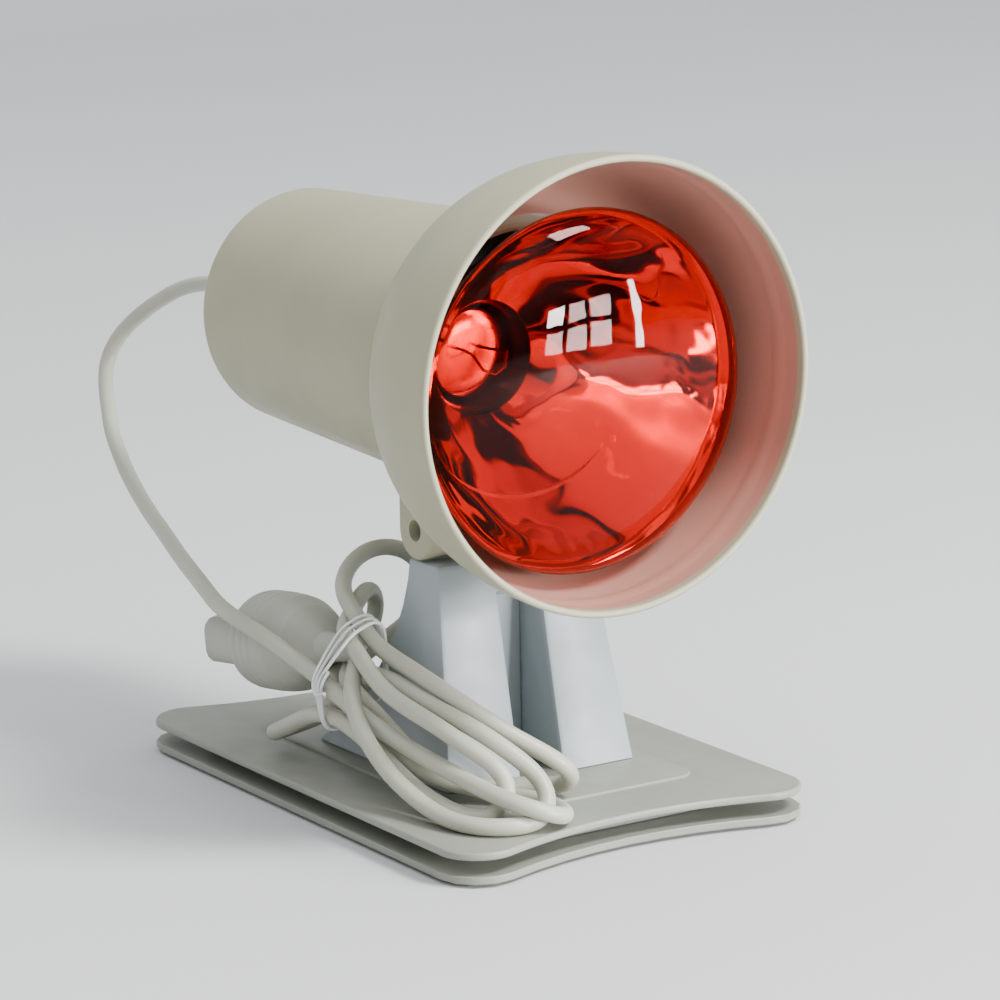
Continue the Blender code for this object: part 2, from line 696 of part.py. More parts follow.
def build_lampholder(lamp, ceramic, brass, steel, black, copper, bulb_tip):
    bore = cap_radius + shell_clearance + shell_wall + touch_gap
    floor = bulb_tip + 3.2 * MM
    spigot = 5 * MM
    tail = holder_rear + bracket_thickness + 4.6 * MM
    body = [(bore, holder_front), (holder_radius - 1.5 * MM, holder_front),
            (holder_radius, holder_front + 1.5 * MM), (holder_radius, holder_rear - 8 * MM),
            (holder_radius - 3 * MM, holder_rear), (spigot, holder_rear),
            (spigot, tail), (0, tail)]
    holder = place("lampholder_body", turned("lampholder_body", [(0, floor), (bore, floor)] + body,
                                             24), ceramic, lamp)
    shell_in = cap_radius + shell_clearance
    low, high = holder_front + 1 * MM, floor - touch_gap
    shell = [(shell_in, low), (shell_in + shell_wall, low), (shell_in + shell_wall, high), (shell_in, high)]
    place("lampholder_shell", turned("lampholder_shell", shell, 24), brass, lamp)
    spring = [(0, bulb_tip + touch_gap), (3 * MM, bulb_tip + touch_gap), (3 * MM, bulb_tip + 1.5 * MM),
              (6 * MM, bulb_tip + 1.9 * MM), (6 * MM, floor - touch_gap), (0, floor - touch_gap)]
    place("lampholder_contact", turned("lampholder_contact", spring, 16), copper, lamp)

    low, high = holder_rear + touch_gap, holder_rear + touch_gap + bracket_thickness
    outline = rounded_box(-bracket_length / 2, bracket_length / 2, -bracket_width / 2,
                          bracket_width / 2, 5 * MM)
    bracket = place("lampholder_bracket", prism("lampholder_bracket", outline, low, high), steel, lamp)
    cut(bracket, pegs("bracket_centre_hole", [(0, 0)], spigot + bolt_play, low - 1 * MM, high + 1 * MM), lamp)
    sides = [(-bracket_screw_x, 0), (bracket_screw_x, 0)]
    cut(bracket, pegs("bracket_screw_holes", sides, 1.8 * MM, low - 1 * MM, high + 1 * MM, 12), lamp)
    nut = turned("lampholder_nut", [(8 * MM, 0), (8 * MM, 3.4 * MM), (6.2 * MM, 3.4 * MM), (6.2 * MM, 0)], 6)
    place("lampholder_nut", nut, steel, lamp, (0, 0, high + touch_gap))
    screw = screw_mesh("bracket_screw", 3 * MM, 2 * MM, 1.5 * MM, 10 * MM, 12)
    for number, (x, y) in enumerate(sides, 1):
        mat = None if screw.materials else steel
        place(f"bracket_screw_{number}", screw, mat, lamp, (x, y, low - touch_gap))

    # Terminal block inside the rear wall, with leads from the gland and up to the lampholder
    inner_end = head_length - housing_wall
    block = (-9 * MM, 9 * MM, -24 * MM, -14 * MM, inner_end - 9.6 * MM, inner_end - touch_gap)
    place("terminal_block", box("terminal_block", *block), black, lamp)
    flange_front = inner_end - touch_gap - gland_flange
    for number, side in enumerate((-1, 1), 1):
        x = side * MM
        lead = [(2.2 * x, 0, flange_front - touch_gap), (2.2 * x, -0.1 * MM, flange_front - 1.6 * MM),
                (2.6 * x, -2.6 * MM, flange_front - 2.9 * MM), (3.6 * x, -8 * MM, flange_front - 2.9 * MM),
                (4.5 * x, -13.2 * MM, flange_front - 2.2 * MM)]
        tube(f"cord_lead_{number}", lead, 1.1 * MM, copper if side < 0 else black, lamp)
        start = block[4] - touch_gap
        wire = [(4.5 * x, -17 * MM, start), (4.5 * x, -16.2 * MM, start - 2.2 * MM),
                (4.5 * x, -15.5 * MM, holder_rear + touch_gap + 0.2 * MM)]
        tube(f"holder_lead_{number}", wire, 1.0 * MM, copper if side < 0 else black, lamp)
    return holder


def build_heat_shield(lamp, aluminium):
    def radius(depth):
        return housing_radius(depth) - housing_wall - shield_gap
    front, rear = radius(shield_front), radius(shield_rear)
    outline = [(front, shield_front), (rear, shield_rear), (rear - shield_wall, shield_rear),
               (front - shield_wall, shield_front)]
    place("heat_shield", turned("heat_shield", outline, 32), aluminium, lamp)


def build_gland(lamp, soft):
    """Tapered strain relief whose flanges grip the housing's rear wall from both sides."""
    inner = head_length - housing_wall - touch_gap
    outer = head_length + touch_gap
    end = head_length + 3 * MM + gland_length
    waist = cord_hole_radius - touch_gap
    collar = outer + 2.4 * MM
    profile = [(0, inner - gland_flange), (gland_flange_radius, inner - gland_flange),
               (gland_flange_radius, inner),
               (waist, inner), (waist, outer), (gland_flange_radius, outer), (gland_flange_radius, collar),
               (gland_radius, collar + 0.8 * MM)]
    for k in range(1, 6):
        s = k / 5
        profile.append((gland_radius + (gland_tip_radius - gland_radius) * s, collar + (end - collar) * s))
    profile.append((0, end))
    place("cord_gland", turned("cord_gland", profile, 16), soft, lamp)


def build_pivot(tilt, steel, nylon):
    seat = lug_half_width - pivot_recess_depth + touch_gap
    bolt = screw_mesh("pivot_bolt", pivot_bolt_radius + pivot_head_margin, 2.8 * MM,
                      pivot_bolt_radius, 2 * seat + 3.8 * MM)
    place("pivot_bolt", bolt, steel, tilt, (-seat, 0, 0), (0, math.pi / 2, 0))
    nut = nut_mesh("pivot_nut", pivot_bolt_radius + 1.5 * MM, pivot_bolt_radius, 3 * MM)
    place("pivot_nut", nut, steel, tilt, (seat + 1.5 * MM, 0, 0), (0, math.pi / 2, 0))
    hole, half = pivot_bolt_radius + bolt_play, washer_thickness / 2
    disc = turned("washer", [(washer_radius, -half), (washer_radius, half), (hole, half), (hole, -half)], 16)
    for name, side in (("friction_washer_left", -1), ("friction_washer_right", 1)):
        mat = None if disc.materials else nylon
        place(name, disc, mat, tilt, (side * (leg_inner + half), 0, 0), (0, math.pi / 2, 0))


# ---------------------------------------------------------------- cord and plug


def build_plug(plug, soft, steel, cover_plastic):
    body_end = plug_body_length
    profile = [(0, 0), (3.6 * MM, 0), (5.5 * MM, 21 * MM), (9 * MM, 24 * MM), (14 * MM, 30 * MM),
               (17 * MM, 38 * MM), (plug_radius, 48 * MM), (plug_radius, body_end - 4 * MM),
               (plug_radius - 0.8 * MM, body_end), (0, body_end)]
    body = place("plug_body", turned("plug_body", profile, 24), soft, plug)
    pins = [(-pin_spacing / 2, 0), (pin_spacing / 2, 0)]
    hole = pin_radius + touch_gap
    cut(body, pegs("plug_pin_holes", pins, hole, body_end - pin_root - touch_gap,
                   body_end + 1 * MM, 12), plug)
    tip = body_end + pin_length
    pin = turned("plug_pin", [(0, body_end - pin_root), (pin_radius, body_end - pin_root),
                              (pin_radius, tip - 1 * MM), (pin_radius - 1 * MM, tip), (0, tip)], 12)
    for number, (x, y) in enumerate(pins, 1):
        place(f"plug_pin_{number}", pin, None if pin.materials else steel, plug, (x, y, 0))
    low, high = body_end + touch_gap, tip + 2 * MM
    outline = rounded_box(-15 * MM, 15 * MM, -8.5 * MM, 8.5 * MM, 5 * MM)
    cover = place("plug_pin_cover", prism("plug_pin_cover", outline, low, high), cover_plastic, plug)
    cut(cover, pegs("cover_pin_holes", pins, hole, low - 1 * MM, tip + touch_gap, 12), plug)


def build_hank(root, soft, wire):
    plan = [(-66, -70), (-58, -100), (-42, -107), (-25, -100), (-4, -86), (-3, -72), (-20, -58), (-41, -54),
            (-42, -8), (-66, -8)]
    side = [(-8, 62), (-30, 60), (-54, 55), (-80, 43), (-100, 29), (-107, 20), (-107, 13.8), (-60, 13.8),
            (-30, 20), (-8, 36)]
    front = prism("hank_front", [(x * MM, y * MM) for x, y in plan], 10 * MM, 66 * MM)
    hank = place("hank_front", front, soft, root)
    body = prism("hank_side_form", [(y * MM, z * MM) for y, z in side], -80 * MM, 0, "X")
    cut(hank, body, root, "INTERSECT")
    rear = rounded_box(-66 * MM, -42 * MM, -7.7 * MM, 58 * MM, 6 * MM)
    place("hank_rear", prism("hank_rear", rear, 13.8 * MM, 30.2 * MM), soft, root)
    loops = [(-46, 71), (-44, 79), (-33, 86), (-5, 86), (5, 76), (8, 62), (2, 44), (-16, 42),
             (-29, 46), (-29, 71)]
    shape = lofted("hank_loops", [[(x * MM, y * MM, z * MM) for x, z in loops] for y in (20, 36)])
    place("hank_loops", shape, soft, root)
    tie_y = -14 * MM
    ring = [(x, tie_y, z) for x, z in rounded_box(-67.4 * MM, -40.6 * MM, 30.2 * MM, 63 * MM, 1.6 * MM, 2)]
    tail = [(-40.6 * MM, tie_y - 2.4 * MM, 50 * MM), (-38.5 * MM, tie_y - 6 * MM, 54 * MM)]
    band = ring[3:] + ring[:2] + tail
    tube("twist_tie", band, tie_wire_radius, wire, root)


def build_cord(root, soft):
    """Mains lead from the gland, over behind the head and down the left side to the hank."""
    start = rim_y + head_length + 3 * MM + gland_length + touch_gap
    route = [
        (0, start / MM, axis_z / MM), (-1, 165, 157.6), (-2, 180, 156), (-4, 193.5, 152.6),
        (-7, 204.5, 147.2),
        (-10, 215.6, 140.4), (-13, 225.3, 132.6), (-16, 230.2, 125.1), (-19, 230.1, 117.5),
        (-22, 225.1, 110.6),
        (-25, 217.8, 103.8), (-29, 207.9, 96.8), (-33, 194.4, 90.5), (-37, 178.6, 83.8), (-42, 157, 77.4),
        (-48, 132.4, 72.8), (-54, 108.7, 68.6), (-60, 84.8, 65.5), (-66, 61, 62.6), (-68.5, 43, 61.3),
        (-68.6, 25, 59.2), (-66.5, 8, 54.5), (-62, -6.2, 50.5),
    ]
    tube("cord_run", smooth_route(route, 13 * MM), cord_radius, soft, root, 2)


def main():
    clear_scene()
    plastic = material("light grey moulded plastic", (0.55, 0.54, 0.50), 0.5)
    shade_white = material("white enamelled shade", (0.75, 0.74, 0.70), 0.35)
    rubber = material("grey rubber", (0.12, 0.12, 0.12), 0.8)
    steel = material("zinc-plated steel", (0.6, 0.6, 0.58), 0.35, 1.0)
    iron = material("raw steel plate", (0.25, 0.25, 0.26), 0.5, 1.0)
    aluminium = material("aluminium sheet", (0.8, 0.8, 0.8), 0.3, 1.0)
    brass = material("nickel-plated brass", (0.6, 0.52, 0.32), 0.3, 1.0)
    copper = material("insulated wire brown", (0.18, 0.07, 0.03), 0.5)
    black = material("black thermoset", (0.03, 0.03, 0.03), 0.5)
    ceramic = material("glazed ceramic", (0.85, 0.84, 0.8), 0.25)
    glass = material("red bulb glass", (0.55, 0.03, 0.01), 0.1)
    tungsten = material("tungsten wire", (0.3, 0.3, 0.3), 0.4, 1.0)
    soft = material("white pvc", (0.7, 0.69, 0.65), 0.45)
    nylon = material("nylon washer", (0.8, 0.8, 0.75), 0.5)

    root = empty("lamp_base_frame", (0, 0, 0))
    tilt = empty("tilt_axis", (0, pivot_y, pivot_z))
    lamp = empty("lamp_axis", (0, rim_y - pivot_y, axis_z - pivot_z), (-math.pi / 2, 0, 0), tilt)
    plug_turn = (-math.pi / 2 - plug_droop, 0, 0)
    plug = empty("plug_axis", (plug_x, plug_neck_y, plug_neck_z), plug_turn, root)

    build_base(root, plastic, rubber, steel, iron)
    legs = build_legs(root, plastic)
    build_web(root, plastic, steel, legs)
    build_housing(tilt, lamp, plastic)
    build_shade(lamp, shade_white)
    bulb_tip = build_bulb(lamp, glass, brass, black, tungsten)
    build_lampholder(lamp, ceramic, brass, steel, black, copper, bulb_tip)
    build_heat_shield(lamp, aluminium)
    build_gland(lamp, soft)
    build_pivot(tilt, steel, nylon)
    build_plug(plug, soft, steel, plastic)
    build_hank(root, soft, steel)
    build_cord(root, soft)


main()
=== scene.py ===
import json
import math

import bmesh
import bpy
import numpy as np
from mathutils import Matrix, Vector


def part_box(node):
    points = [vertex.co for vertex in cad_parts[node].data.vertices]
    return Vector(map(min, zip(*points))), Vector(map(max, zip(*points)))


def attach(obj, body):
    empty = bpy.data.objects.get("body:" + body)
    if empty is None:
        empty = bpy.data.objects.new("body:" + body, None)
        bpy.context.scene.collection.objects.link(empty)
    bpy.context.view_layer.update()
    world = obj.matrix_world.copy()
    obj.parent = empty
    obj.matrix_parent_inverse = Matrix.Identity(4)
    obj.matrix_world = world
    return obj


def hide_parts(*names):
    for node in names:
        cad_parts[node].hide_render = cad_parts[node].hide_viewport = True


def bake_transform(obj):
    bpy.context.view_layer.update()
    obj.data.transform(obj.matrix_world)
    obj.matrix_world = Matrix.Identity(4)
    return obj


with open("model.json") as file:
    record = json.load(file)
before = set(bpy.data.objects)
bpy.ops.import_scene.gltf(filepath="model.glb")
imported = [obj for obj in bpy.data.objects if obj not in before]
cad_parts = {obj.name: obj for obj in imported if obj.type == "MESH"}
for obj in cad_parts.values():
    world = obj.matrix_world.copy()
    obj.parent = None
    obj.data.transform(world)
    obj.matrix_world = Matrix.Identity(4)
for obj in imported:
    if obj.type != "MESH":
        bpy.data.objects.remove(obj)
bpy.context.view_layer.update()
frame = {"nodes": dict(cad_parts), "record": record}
nodes = frame["nodes"]
mm = 0.001
pivotY, pivotZ = frame["record"]["behaviour"]["joints"][0]["pos_m"][1:]
shadeLow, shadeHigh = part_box("lamp_shade")
rimY = shadeLow[1]
axisZ = (shadeLow[2] + shadeHigh[2]) / 2


# ---- camera

cameraView = {
    "azimuth": -32.954, "elevation": 12.498, "roll": -0.919,  # degrees
    "distance": 1.4813, "target": (0.0, -0.02475, 0.10897),
    "lens": 153.994, "shift": (-0.00217, -0.00486),
}


def makeCamera(v):
    data = bpy.data.cameras.new("viewCamera")
    data.lens = v["lens"]
    data.sensor_width = 36.0
    data.shift_x, data.shift_y = v["shift"]
    cam = bpy.data.objects.new("viewCamera", data)
    bpy.context.scene.collection.objects.link(cam)
    a, e = math.radians(v["azimuth"]), math.radians(v["elevation"])
    back = Vector((math.sin(a) * math.cos(e), -math.cos(a) * math.cos(e), math.sin(e)))
    cam.location = Vector(v["target"]) + back * v["distance"]
    turn = (-back).to_track_quat("-Z", "Y").to_matrix() @ Matrix.Rotation(math.radians(v["roll"]), 3, "Z")
    cam.rotation_euler = turn.to_euler()
    bpy.context.scene.camera = cam


makeCamera(cameraView)
print("camera placed")


# ---- mesh makers

def newObject(name, points, faces, smooth=35, material=None):
    mesh = bpy.data.meshes.new(name)
    mesh.from_pydata(np.asarray(points).reshape(-1, 3).tolist(), [], [list(f) for f in faces])
    return finished(name, mesh, smooth, material)


def finished(name, mesh, smooth=35, material=None):
    bm = bmesh.new()  # doubles merged first, so that every wall faces outwards
    bm.from_mesh(mesh)
    bmesh.ops.remove_doubles(bm, verts=bm.verts, dist=1e-6)
    bmesh.ops.recalc_face_normals(bm, faces=bm.faces)
    bm.to_mesh(mesh)
    bm.free()
    mesh.shade_smooth()
    mesh.set_sharp_from_angle(angle=math.radians(smooth))
    obj = bpy.data.objects.new(name, mesh)
    bpy.context.scene.collection.objects.link(obj)
    if material:
        mesh.materials.append(material)
    return obj


def gridFaces(rows, columns, closeRows=False):
    # quads of a grid whose columns wrap round, and whose rows may wrap too
    r = np.arange(rows if closeRows else rows - 1)[:, None]
    c = np.arange(columns)[None, :]
    up, right = (r + 1) % rows, (c + 1) % columns
    quads = np.stack([r * columns + c, r * columns + right, up * columns + right, up * columns + c], -1)
    return quads.reshape(-1, 4).tolist()


def turnedPoints(profile, steps, start=0.0):
    # each (radius, depth) swept round the lamp's axis: x = r cos a, z = axis + r sin a, y = rim + depth
    profile = np.asarray(profile)
    a = start + np.linspace(0, 2 * np.pi, steps, endpoint=False)[None, :]
    r, d = profile[:, :1], profile[:, 1:]
    return np.stack([r * np.cos(a), rimY + d + 0 * a, axisZ + r * np.sin(a)], -1)


def turnedPiece(name, profile, steps=96, closed=True, smooth=35, material=None):
    points = turnedPoints(profile, steps)
    return newObject(name, points, gridFaces(len(profile), steps, closed), smooth, material)


def loftPiece(name, rings, smooth=35, material=None):
    # outlines stacked into one skin, with the first and last closed flat
    rings = np.asarray(rings)
    rows, columns = rings.shape[:2]
    faces = gridFaces(rows, columns)
    faces += [list(range(columns)), list(range((rows - 1) * columns, rows * columns))]
    return newObject(name, rings, faces, smooth, material)


def arcPoints(centre, radius, start, end, steps):
    # centre + radius (cos a, sin a), with a from start to end in degrees
    a = np.radians(np.linspace(start, end, steps))
    return np.column_stack([centre[0] + radius * np.cos(a), centre[1] + radius * np.sin(a)])


def roundedRect(x0, x1, y0, y1, corner, steps):
    return np.vstack([
        arcPoints((x1 - corner, y1 - corner), corner, 0, 90, steps),
        arcPoints((x0 + corner, y1 - corner), corner, 90, 180, steps),
        arcPoints((x0 + corner, y0 + corner), corner, 180, 270, steps),
        arcPoints((x1 - corner, y0 + corner), corner, 270, 360, steps),
    ])


def boolean(obj, cutters, operation="DIFFERENCE"):
    # one exact cut or union at a time, applied to the mesh
    for cutter in cutters:
        mod = obj.modifiers.new("form", "BOOLEAN")
        mod.operation, mod.solver, mod.object = operation, "EXACT", cutter
        applied = bpy.data.meshes.new_from_object(obj.evaluated_get(bpy.context.evaluated_depsgraph_get()))
        obj.modifiers.clear()
        old, obj.data = obj.data, applied
        bpy.data.meshes.remove(old)
        bpy.data.objects.remove(cutter)
    return obj


def barAlongX(name, radius, half, y, z, steps=48):
    a = np.linspace(0, 2 * np.pi, steps, endpoint=False)
    ring = np.column_stack([np.zeros(steps), y + radius * np.cos(a), z + radius * np.sin(a)])
    return loftPiece(name, [ring - [half, 0, 0], ring + [half, 0, 0]])


def boxPiece(name, low, high):
    x, y, z = zip(low, high)
    ring = [(x[0], y[0]), (x[1], y[0]), (x[1], y[1]), (x[0], y[1])]
    return loftPiece(name, [[(u, v, w) for u, v in ring] for w in z])


def edged(obj, width, segments=2, angle=40):
    mod = obj.modifiers.new("edges", "BEVEL")
    mod.width, mod.segments = width, segments
    mod.limit_method, mod.angle_limit = "ANGLE", math.radians(angle)
    mod.use_clamp_overlap = True
    mod.harden_normals = False
    return obj


def nodeCopy(node, name, edge=0.0004, smooth=32, material=None):
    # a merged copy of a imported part, its flat faces made whole, with small rounded edges
    mesh = nodes[node].data.copy()
    bm = bmesh.new()
    bm.from_mesh(mesh)
    bmesh.ops.remove_doubles(bm, verts=bm.verts, dist=1e-6)
    bmesh.ops.dissolve_limit(bm, angle_limit=math.radians(0.5), verts=bm.verts, edges=bm.edges)
    bm.to_mesh(mesh)
    bm.free()
    mesh.transform(nodes[node].matrix_world)
    mesh.materials.clear()
    obj = finished(name, mesh, smooth, material)
    if edge:
        edged(obj, edge)
    return obj


# ---- materials

def toLinear(code):
    parts = [int(code[k:k + 2], 16) / 255 for k in (1, 3, 5)]
    return tuple(p / 12.92 if p <= 0.04045 else ((p + 0.055) / 1.055) ** 2.4 for p in parts) + (1.0,)


def addNode(tree, kind, inputs=None, **settings):
    node = tree.nodes.new("ShaderNode" + kind)
    for key, value in settings.items():
        setattr(node, key, value)
    for key, value in (inputs or {}).items():
        if isinstance(value, bpy.types.NodeSocket):
            tree.links.new(value, node.inputs[key])
        else:
            node.inputs[key].default_value = value
    return node


def newMaterial(name):
    mat = bpy.data.materials.new(name)
    mat.use_nodes = True
    tree = mat.node_tree
    shader = tree.nodes["Principled BSDF"]
    place = addNode(tree, "TexCoord").outputs["Object"]
    return mat, tree, shader, place


def setShader(tree, shader, **values):
    for key, value in values.items():
        socket = shader.inputs[key.replace("_", " ")]
        if isinstance(value, bpy.types.NodeSocket):
            tree.links.new(value, socket)
        else:
            socket.default_value = value


def noiseAt(tree, place, sizeMm, detail=2.0, roughness=0.5):
    # features about sizeMm across
    return addNode(tree, "TexNoise", {"Vector": place, "Scale": 1000.0 / sizeMm, "Detail": detail,
                                      "Roughness": roughness}).outputs["Fac"]


def between(tree, fac, low, high):
    # the noise's usual span stretched from low to high
    span = addNode(tree, "MapRange", {"Value": fac, "From Min": 0.3, "From Max": 0.7,
                                      "To Min": low, "To Max": high})
    return span.outputs["Result"]


def twoTone(tree, fac, first, second):
    mix = addNode(tree, "Mix", data_type="RGBA")
    tree.links.new(fac, mix.inputs["Factor"])
    mix.inputs["A"].default_value = toLinear(first)
    mix.inputs["B"].default_value = toLinear(second)
    return mix.outputs["Result"]


def bumpFrom(tree, height, strength, depthMm):
    bump = addNode(tree, "Bump", {"Height": height, "Strength": strength, "Distance": depthMm * mm})
    return bump.outputs["Normal"]


def mouldedShell(name, light, dark, rough=(0.42, 0.54), grainMm=0.9, grainDepth=0.05):
    # ABS, injection moulded in a spark-eroded tool: a satin skin with a fine even grain
    mat, tree, shader, place = newMaterial(name)
    cloud = noiseAt(tree, place, 55, 3)
    grain = noiseAt(tree, place, grainMm, 3, 0.6)
    setShader(tree, shader, Base_Color=twoTone(tree, between(tree, cloud, 0, 1), light, dark),
              Roughness=between(tree, noiseAt(tree, place, 14, 2), *rough),
              Normal=bumpFrom(tree, grain, 0.35, grainDepth), IOR=1.5)
    return mat


def softPvc(name, light, dark, rough=(0.34, 0.46)):
    # plasticised PVC, extruded or moulded round a flex: smooth with a faint waxy skin
    mat, tree, shader, place = newMaterial(name)
    cloud = noiseAt(tree, place, 22, 3)
    skin = noiseAt(tree, place, 1.6, 2)
    setShader(tree, shader, Base_Color=twoTone(tree, between(tree, cloud, 0, 1), light, dark),
              Roughness=between(tree, skin, *rough), Normal=bumpFrom(tree, skin, 0.2, 0.04), IOR=1.52)
    shader.inputs["Subsurface Weight"].default_value = 0.05
    shader.inputs["Subsurface Radius"].default_value = (0.002, 0.0018, 0.0015)
    return mat


def platedSteel(name, code, stretch=(1, 1, 1), rough=(0.28, 0.45)):
    # zinc or nickel plating over drawn steel: metal with fine drawing lines
    mat, tree, shader, place = newMaterial(name)
    lines = addNode(tree, "Mapping", {"Vector": place, "Scale": stretch}).outputs["Vector"]
    grain = noiseAt(tree, lines, 1.2, 3)
    setShader(tree, shader, Base_Color=toLinear(code), Metallic=1.0,
              Roughness=between(tree, grain, *rough), Normal=bumpFrom(tree, grain, 0.15, 0.02))
    return mat


def plainMoulding(name, code, second, rough=(0.4, 0.55), sizeMm=2.0):
    # small moulded or pressed pieces inside: a plain skin with slight mottling
    mat, tree, shader, place = newMaterial(name)
    cloud = noiseAt(tree, place, sizeMm, 3)
    setShader(tree, shader, Base_Color=twoTone(tree, between(tree, cloud, 0, 1), code, second),
              Roughness=between(tree, cloud, *rough), Normal=bumpFrom(tree, cloud, 0.2, 0.03))
    return mat


def rubyGlass(name):
    # soda-lime glass, blown and stained ruby; the low index keeps white reflections off the red
    mat, tree, shader, place = newMaterial(name)
    cloud = noiseAt(tree, place, 60, 2)
    ripple = noiseAt(tree, place, 17, 2, 0.55)
    setShader(tree, shader, Base_Color=twoTone(tree, between(tree, cloud, 0, 1), "#FF4A0C", "#FA420A"),
              Normal=bumpFrom(tree, ripple, 0.25, 0.35), Roughness=0.015, IOR=1.2)
    shader.inputs["Transmission Weight"].default_value = 1.0
    return mat


def mirrorCoat(name):
    # aluminium, vacuum deposited on blown glass: a bright mirror with the glass's slow ripples
    mat, tree, shader, place = newMaterial(name)
    ripple = noiseAt(tree, place, 31, 1, 0.4)
    setShader(tree, shader, Base_Color=toLinear("#E2DFDA"), Metallic=1.0,
              Roughness=between(tree, noiseAt(tree, place, 30, 2), 0.03, 0.07),
              Normal=bumpFrom(tree, ripple, 1.0, 3.2))
    return mat


def clearGlass(name):
    # soda-lime glass tube, drawn: colourless
    mat, tree, shader, place = newMaterial(name)
    streak = noiseAt(tree, place, 6, 2)
    setShader(tree, shader, Base_Color=toLinear("#F2F5F2"), Normal=bumpFrom(tree, streak, 0.1, 0.05),
              Roughness=0.03, IOR=1.5)
    shader.inputs["Transmission Weight"].default_value = 1.0
    return mat


finishes = {
    "shell": mouldedShell("moulded ABS, warm light grey", "#A6A489", "#9E9C81"),
    "shadeSkin": mouldedShell("moulded ABS shade, warm light grey", "#A9A78C", "#A19F84"),
    # the inside's pink tint is painted light, the red glow bounced off the ruby bulb, not the plastic's own
    # colour
    "shadeInsidePaintedBounce": mouldedShell("moulded ABS shade, polished inside, painted red bounce", "#BE9080", "#B68777", (0.3, 0.42)),
    "base": mouldedShell("moulded ABS base, cool light grey", "#8E9085", "#86887D", (0.36, 0.48)),
    "leg": mouldedShell("moulded ABS legs, cool light grey", "#9EA6AA", "#97A0A3", (0.38, 0.5)),
    "spacer": mouldedShell("moulded ABS spacer, mid grey", "#7B7D7B", "#727472"),
    "cord": softPvc("extruded PVC flex, off-white", "#B5B5A6", "#ACAC9C"),
    "plug": softPvc("moulded PVC plug, off-white", "#B0B1A5", "#A8A99D", (0.38, 0.5)),
    "tie": softPvc("PVC-coated tie wire, white", "#E2E4E2", "#D8DAD8"),
    "foot": plainMoulding("pressed rubber, dark grey", "#3A3A3A", "#303030", (0.7, 0.85)),
    "steel": platedSteel("zinc-plated steel", "#BFC0BE", (1, 1, 6)),
    "nickel": platedSteel("nickel-plated brass pin, drawn", "#C9C4B4", (6, 1, 6), (0.18, 0.3)),
    "brass": platedSteel("brass, pressed", "#C7A35A", (1, 6, 1), (0.25, 0.4)),
    "aluminium": platedSteel("aluminium sheet, rolled", "#D8DADC", (1, 8, 1), (0.3, 0.45)),
    "deflector": platedSteel("aluminium, stamped bright", "#DADBDC", (1, 1, 1), (0.12, 0.22)),
    "iron": platedSteel("hot-rolled steel plate", "#5B5C5E", (1, 4, 1), (0.45, 0.65)),
    "tungsten": platedSteel("tungsten wire, coiled", "#6E6C68", (1, 1, 1), (0.35, 0.5)),
    "ceramic": plainMoulding("glazed steatite ceramic", "#EDEAE0", "#E4E0D4", (0.12, 0.22), 4.0),
    "bakelite": plainMoulding("black phenolic, pressed", "#1D1C1B", "#262423", (0.35, 0.5)),
    "nylon": plainMoulding("nylon washer, moulded", "#DAD8CF", "#D0CEC4"),
    "wireBrown": plainMoulding("silicone wire sleeve, brown", "#5A3020", "#4E291B"),
    "wireBlue": plainMoulding("silicone wire sleeve, blue", "#30465F", "#293E56"),
    "ruby": rubyGlass("ruby-stained blown glass"),
    "mirror": mirrorCoat("aluminised glass reflector"),
    "clear": clearGlass("clear drawn glass"),
}
print("materials made:", len(finishes))


# ---- the lead: one length of flex from the gland to the plug

lead = {
    "radius": 3.0 * mm, "sides": 16, "spacing": 2.4 * mm,
    "padTop": 13.3 * mm, "plateTop": 12.3 * mm, "padHalf": 46.5 * mm, "padEnds": (-76 * mm, 69 * mm),
    "settleRounds": 200, "tightest": 11.0 * mm,  # bends tighter than this are eased each round
}
legShape = {  # mm: what the strands keep clear of, from the leg's foot up to its top
    "foot": 13.6, "rise": 75.6, "outer": 38.5, "outerLean": 7.0, "front": -48.0, "frontLean": 16.0,
    "back": -13.0, "backSpread": 52.0, "inner": -6.0, "top": 90.0,
}
freeRoute = [
    (0, 146.9, 158), (-1, 165, 157.6), (-2, 180, 156), (-4, 193.5, 152.6), (-7, 204.5, 147.2),
    (-10, 215.6, 140.4), (-13, 225.3, 132.6), (-16, 230.2, 125.1), (-19, 230.1, 117.5), (-22, 225.1, 110.6),
    (-25, 217.8, 103.8), (-29, 207.9, 96.8), (-33, 194.4, 90.5), (-37, 178.6, 83.8), (-42, 157, 77.4),
    (-48, 132.4, 72.8), (-54, 108.7, 68.6), (-60, 84.8, 65.5), (-66, 61, 62.6), (-68.5, 43, 61.3),
    (-68.6, 25, 59.2), (-66.5, 8, 54.5),
]
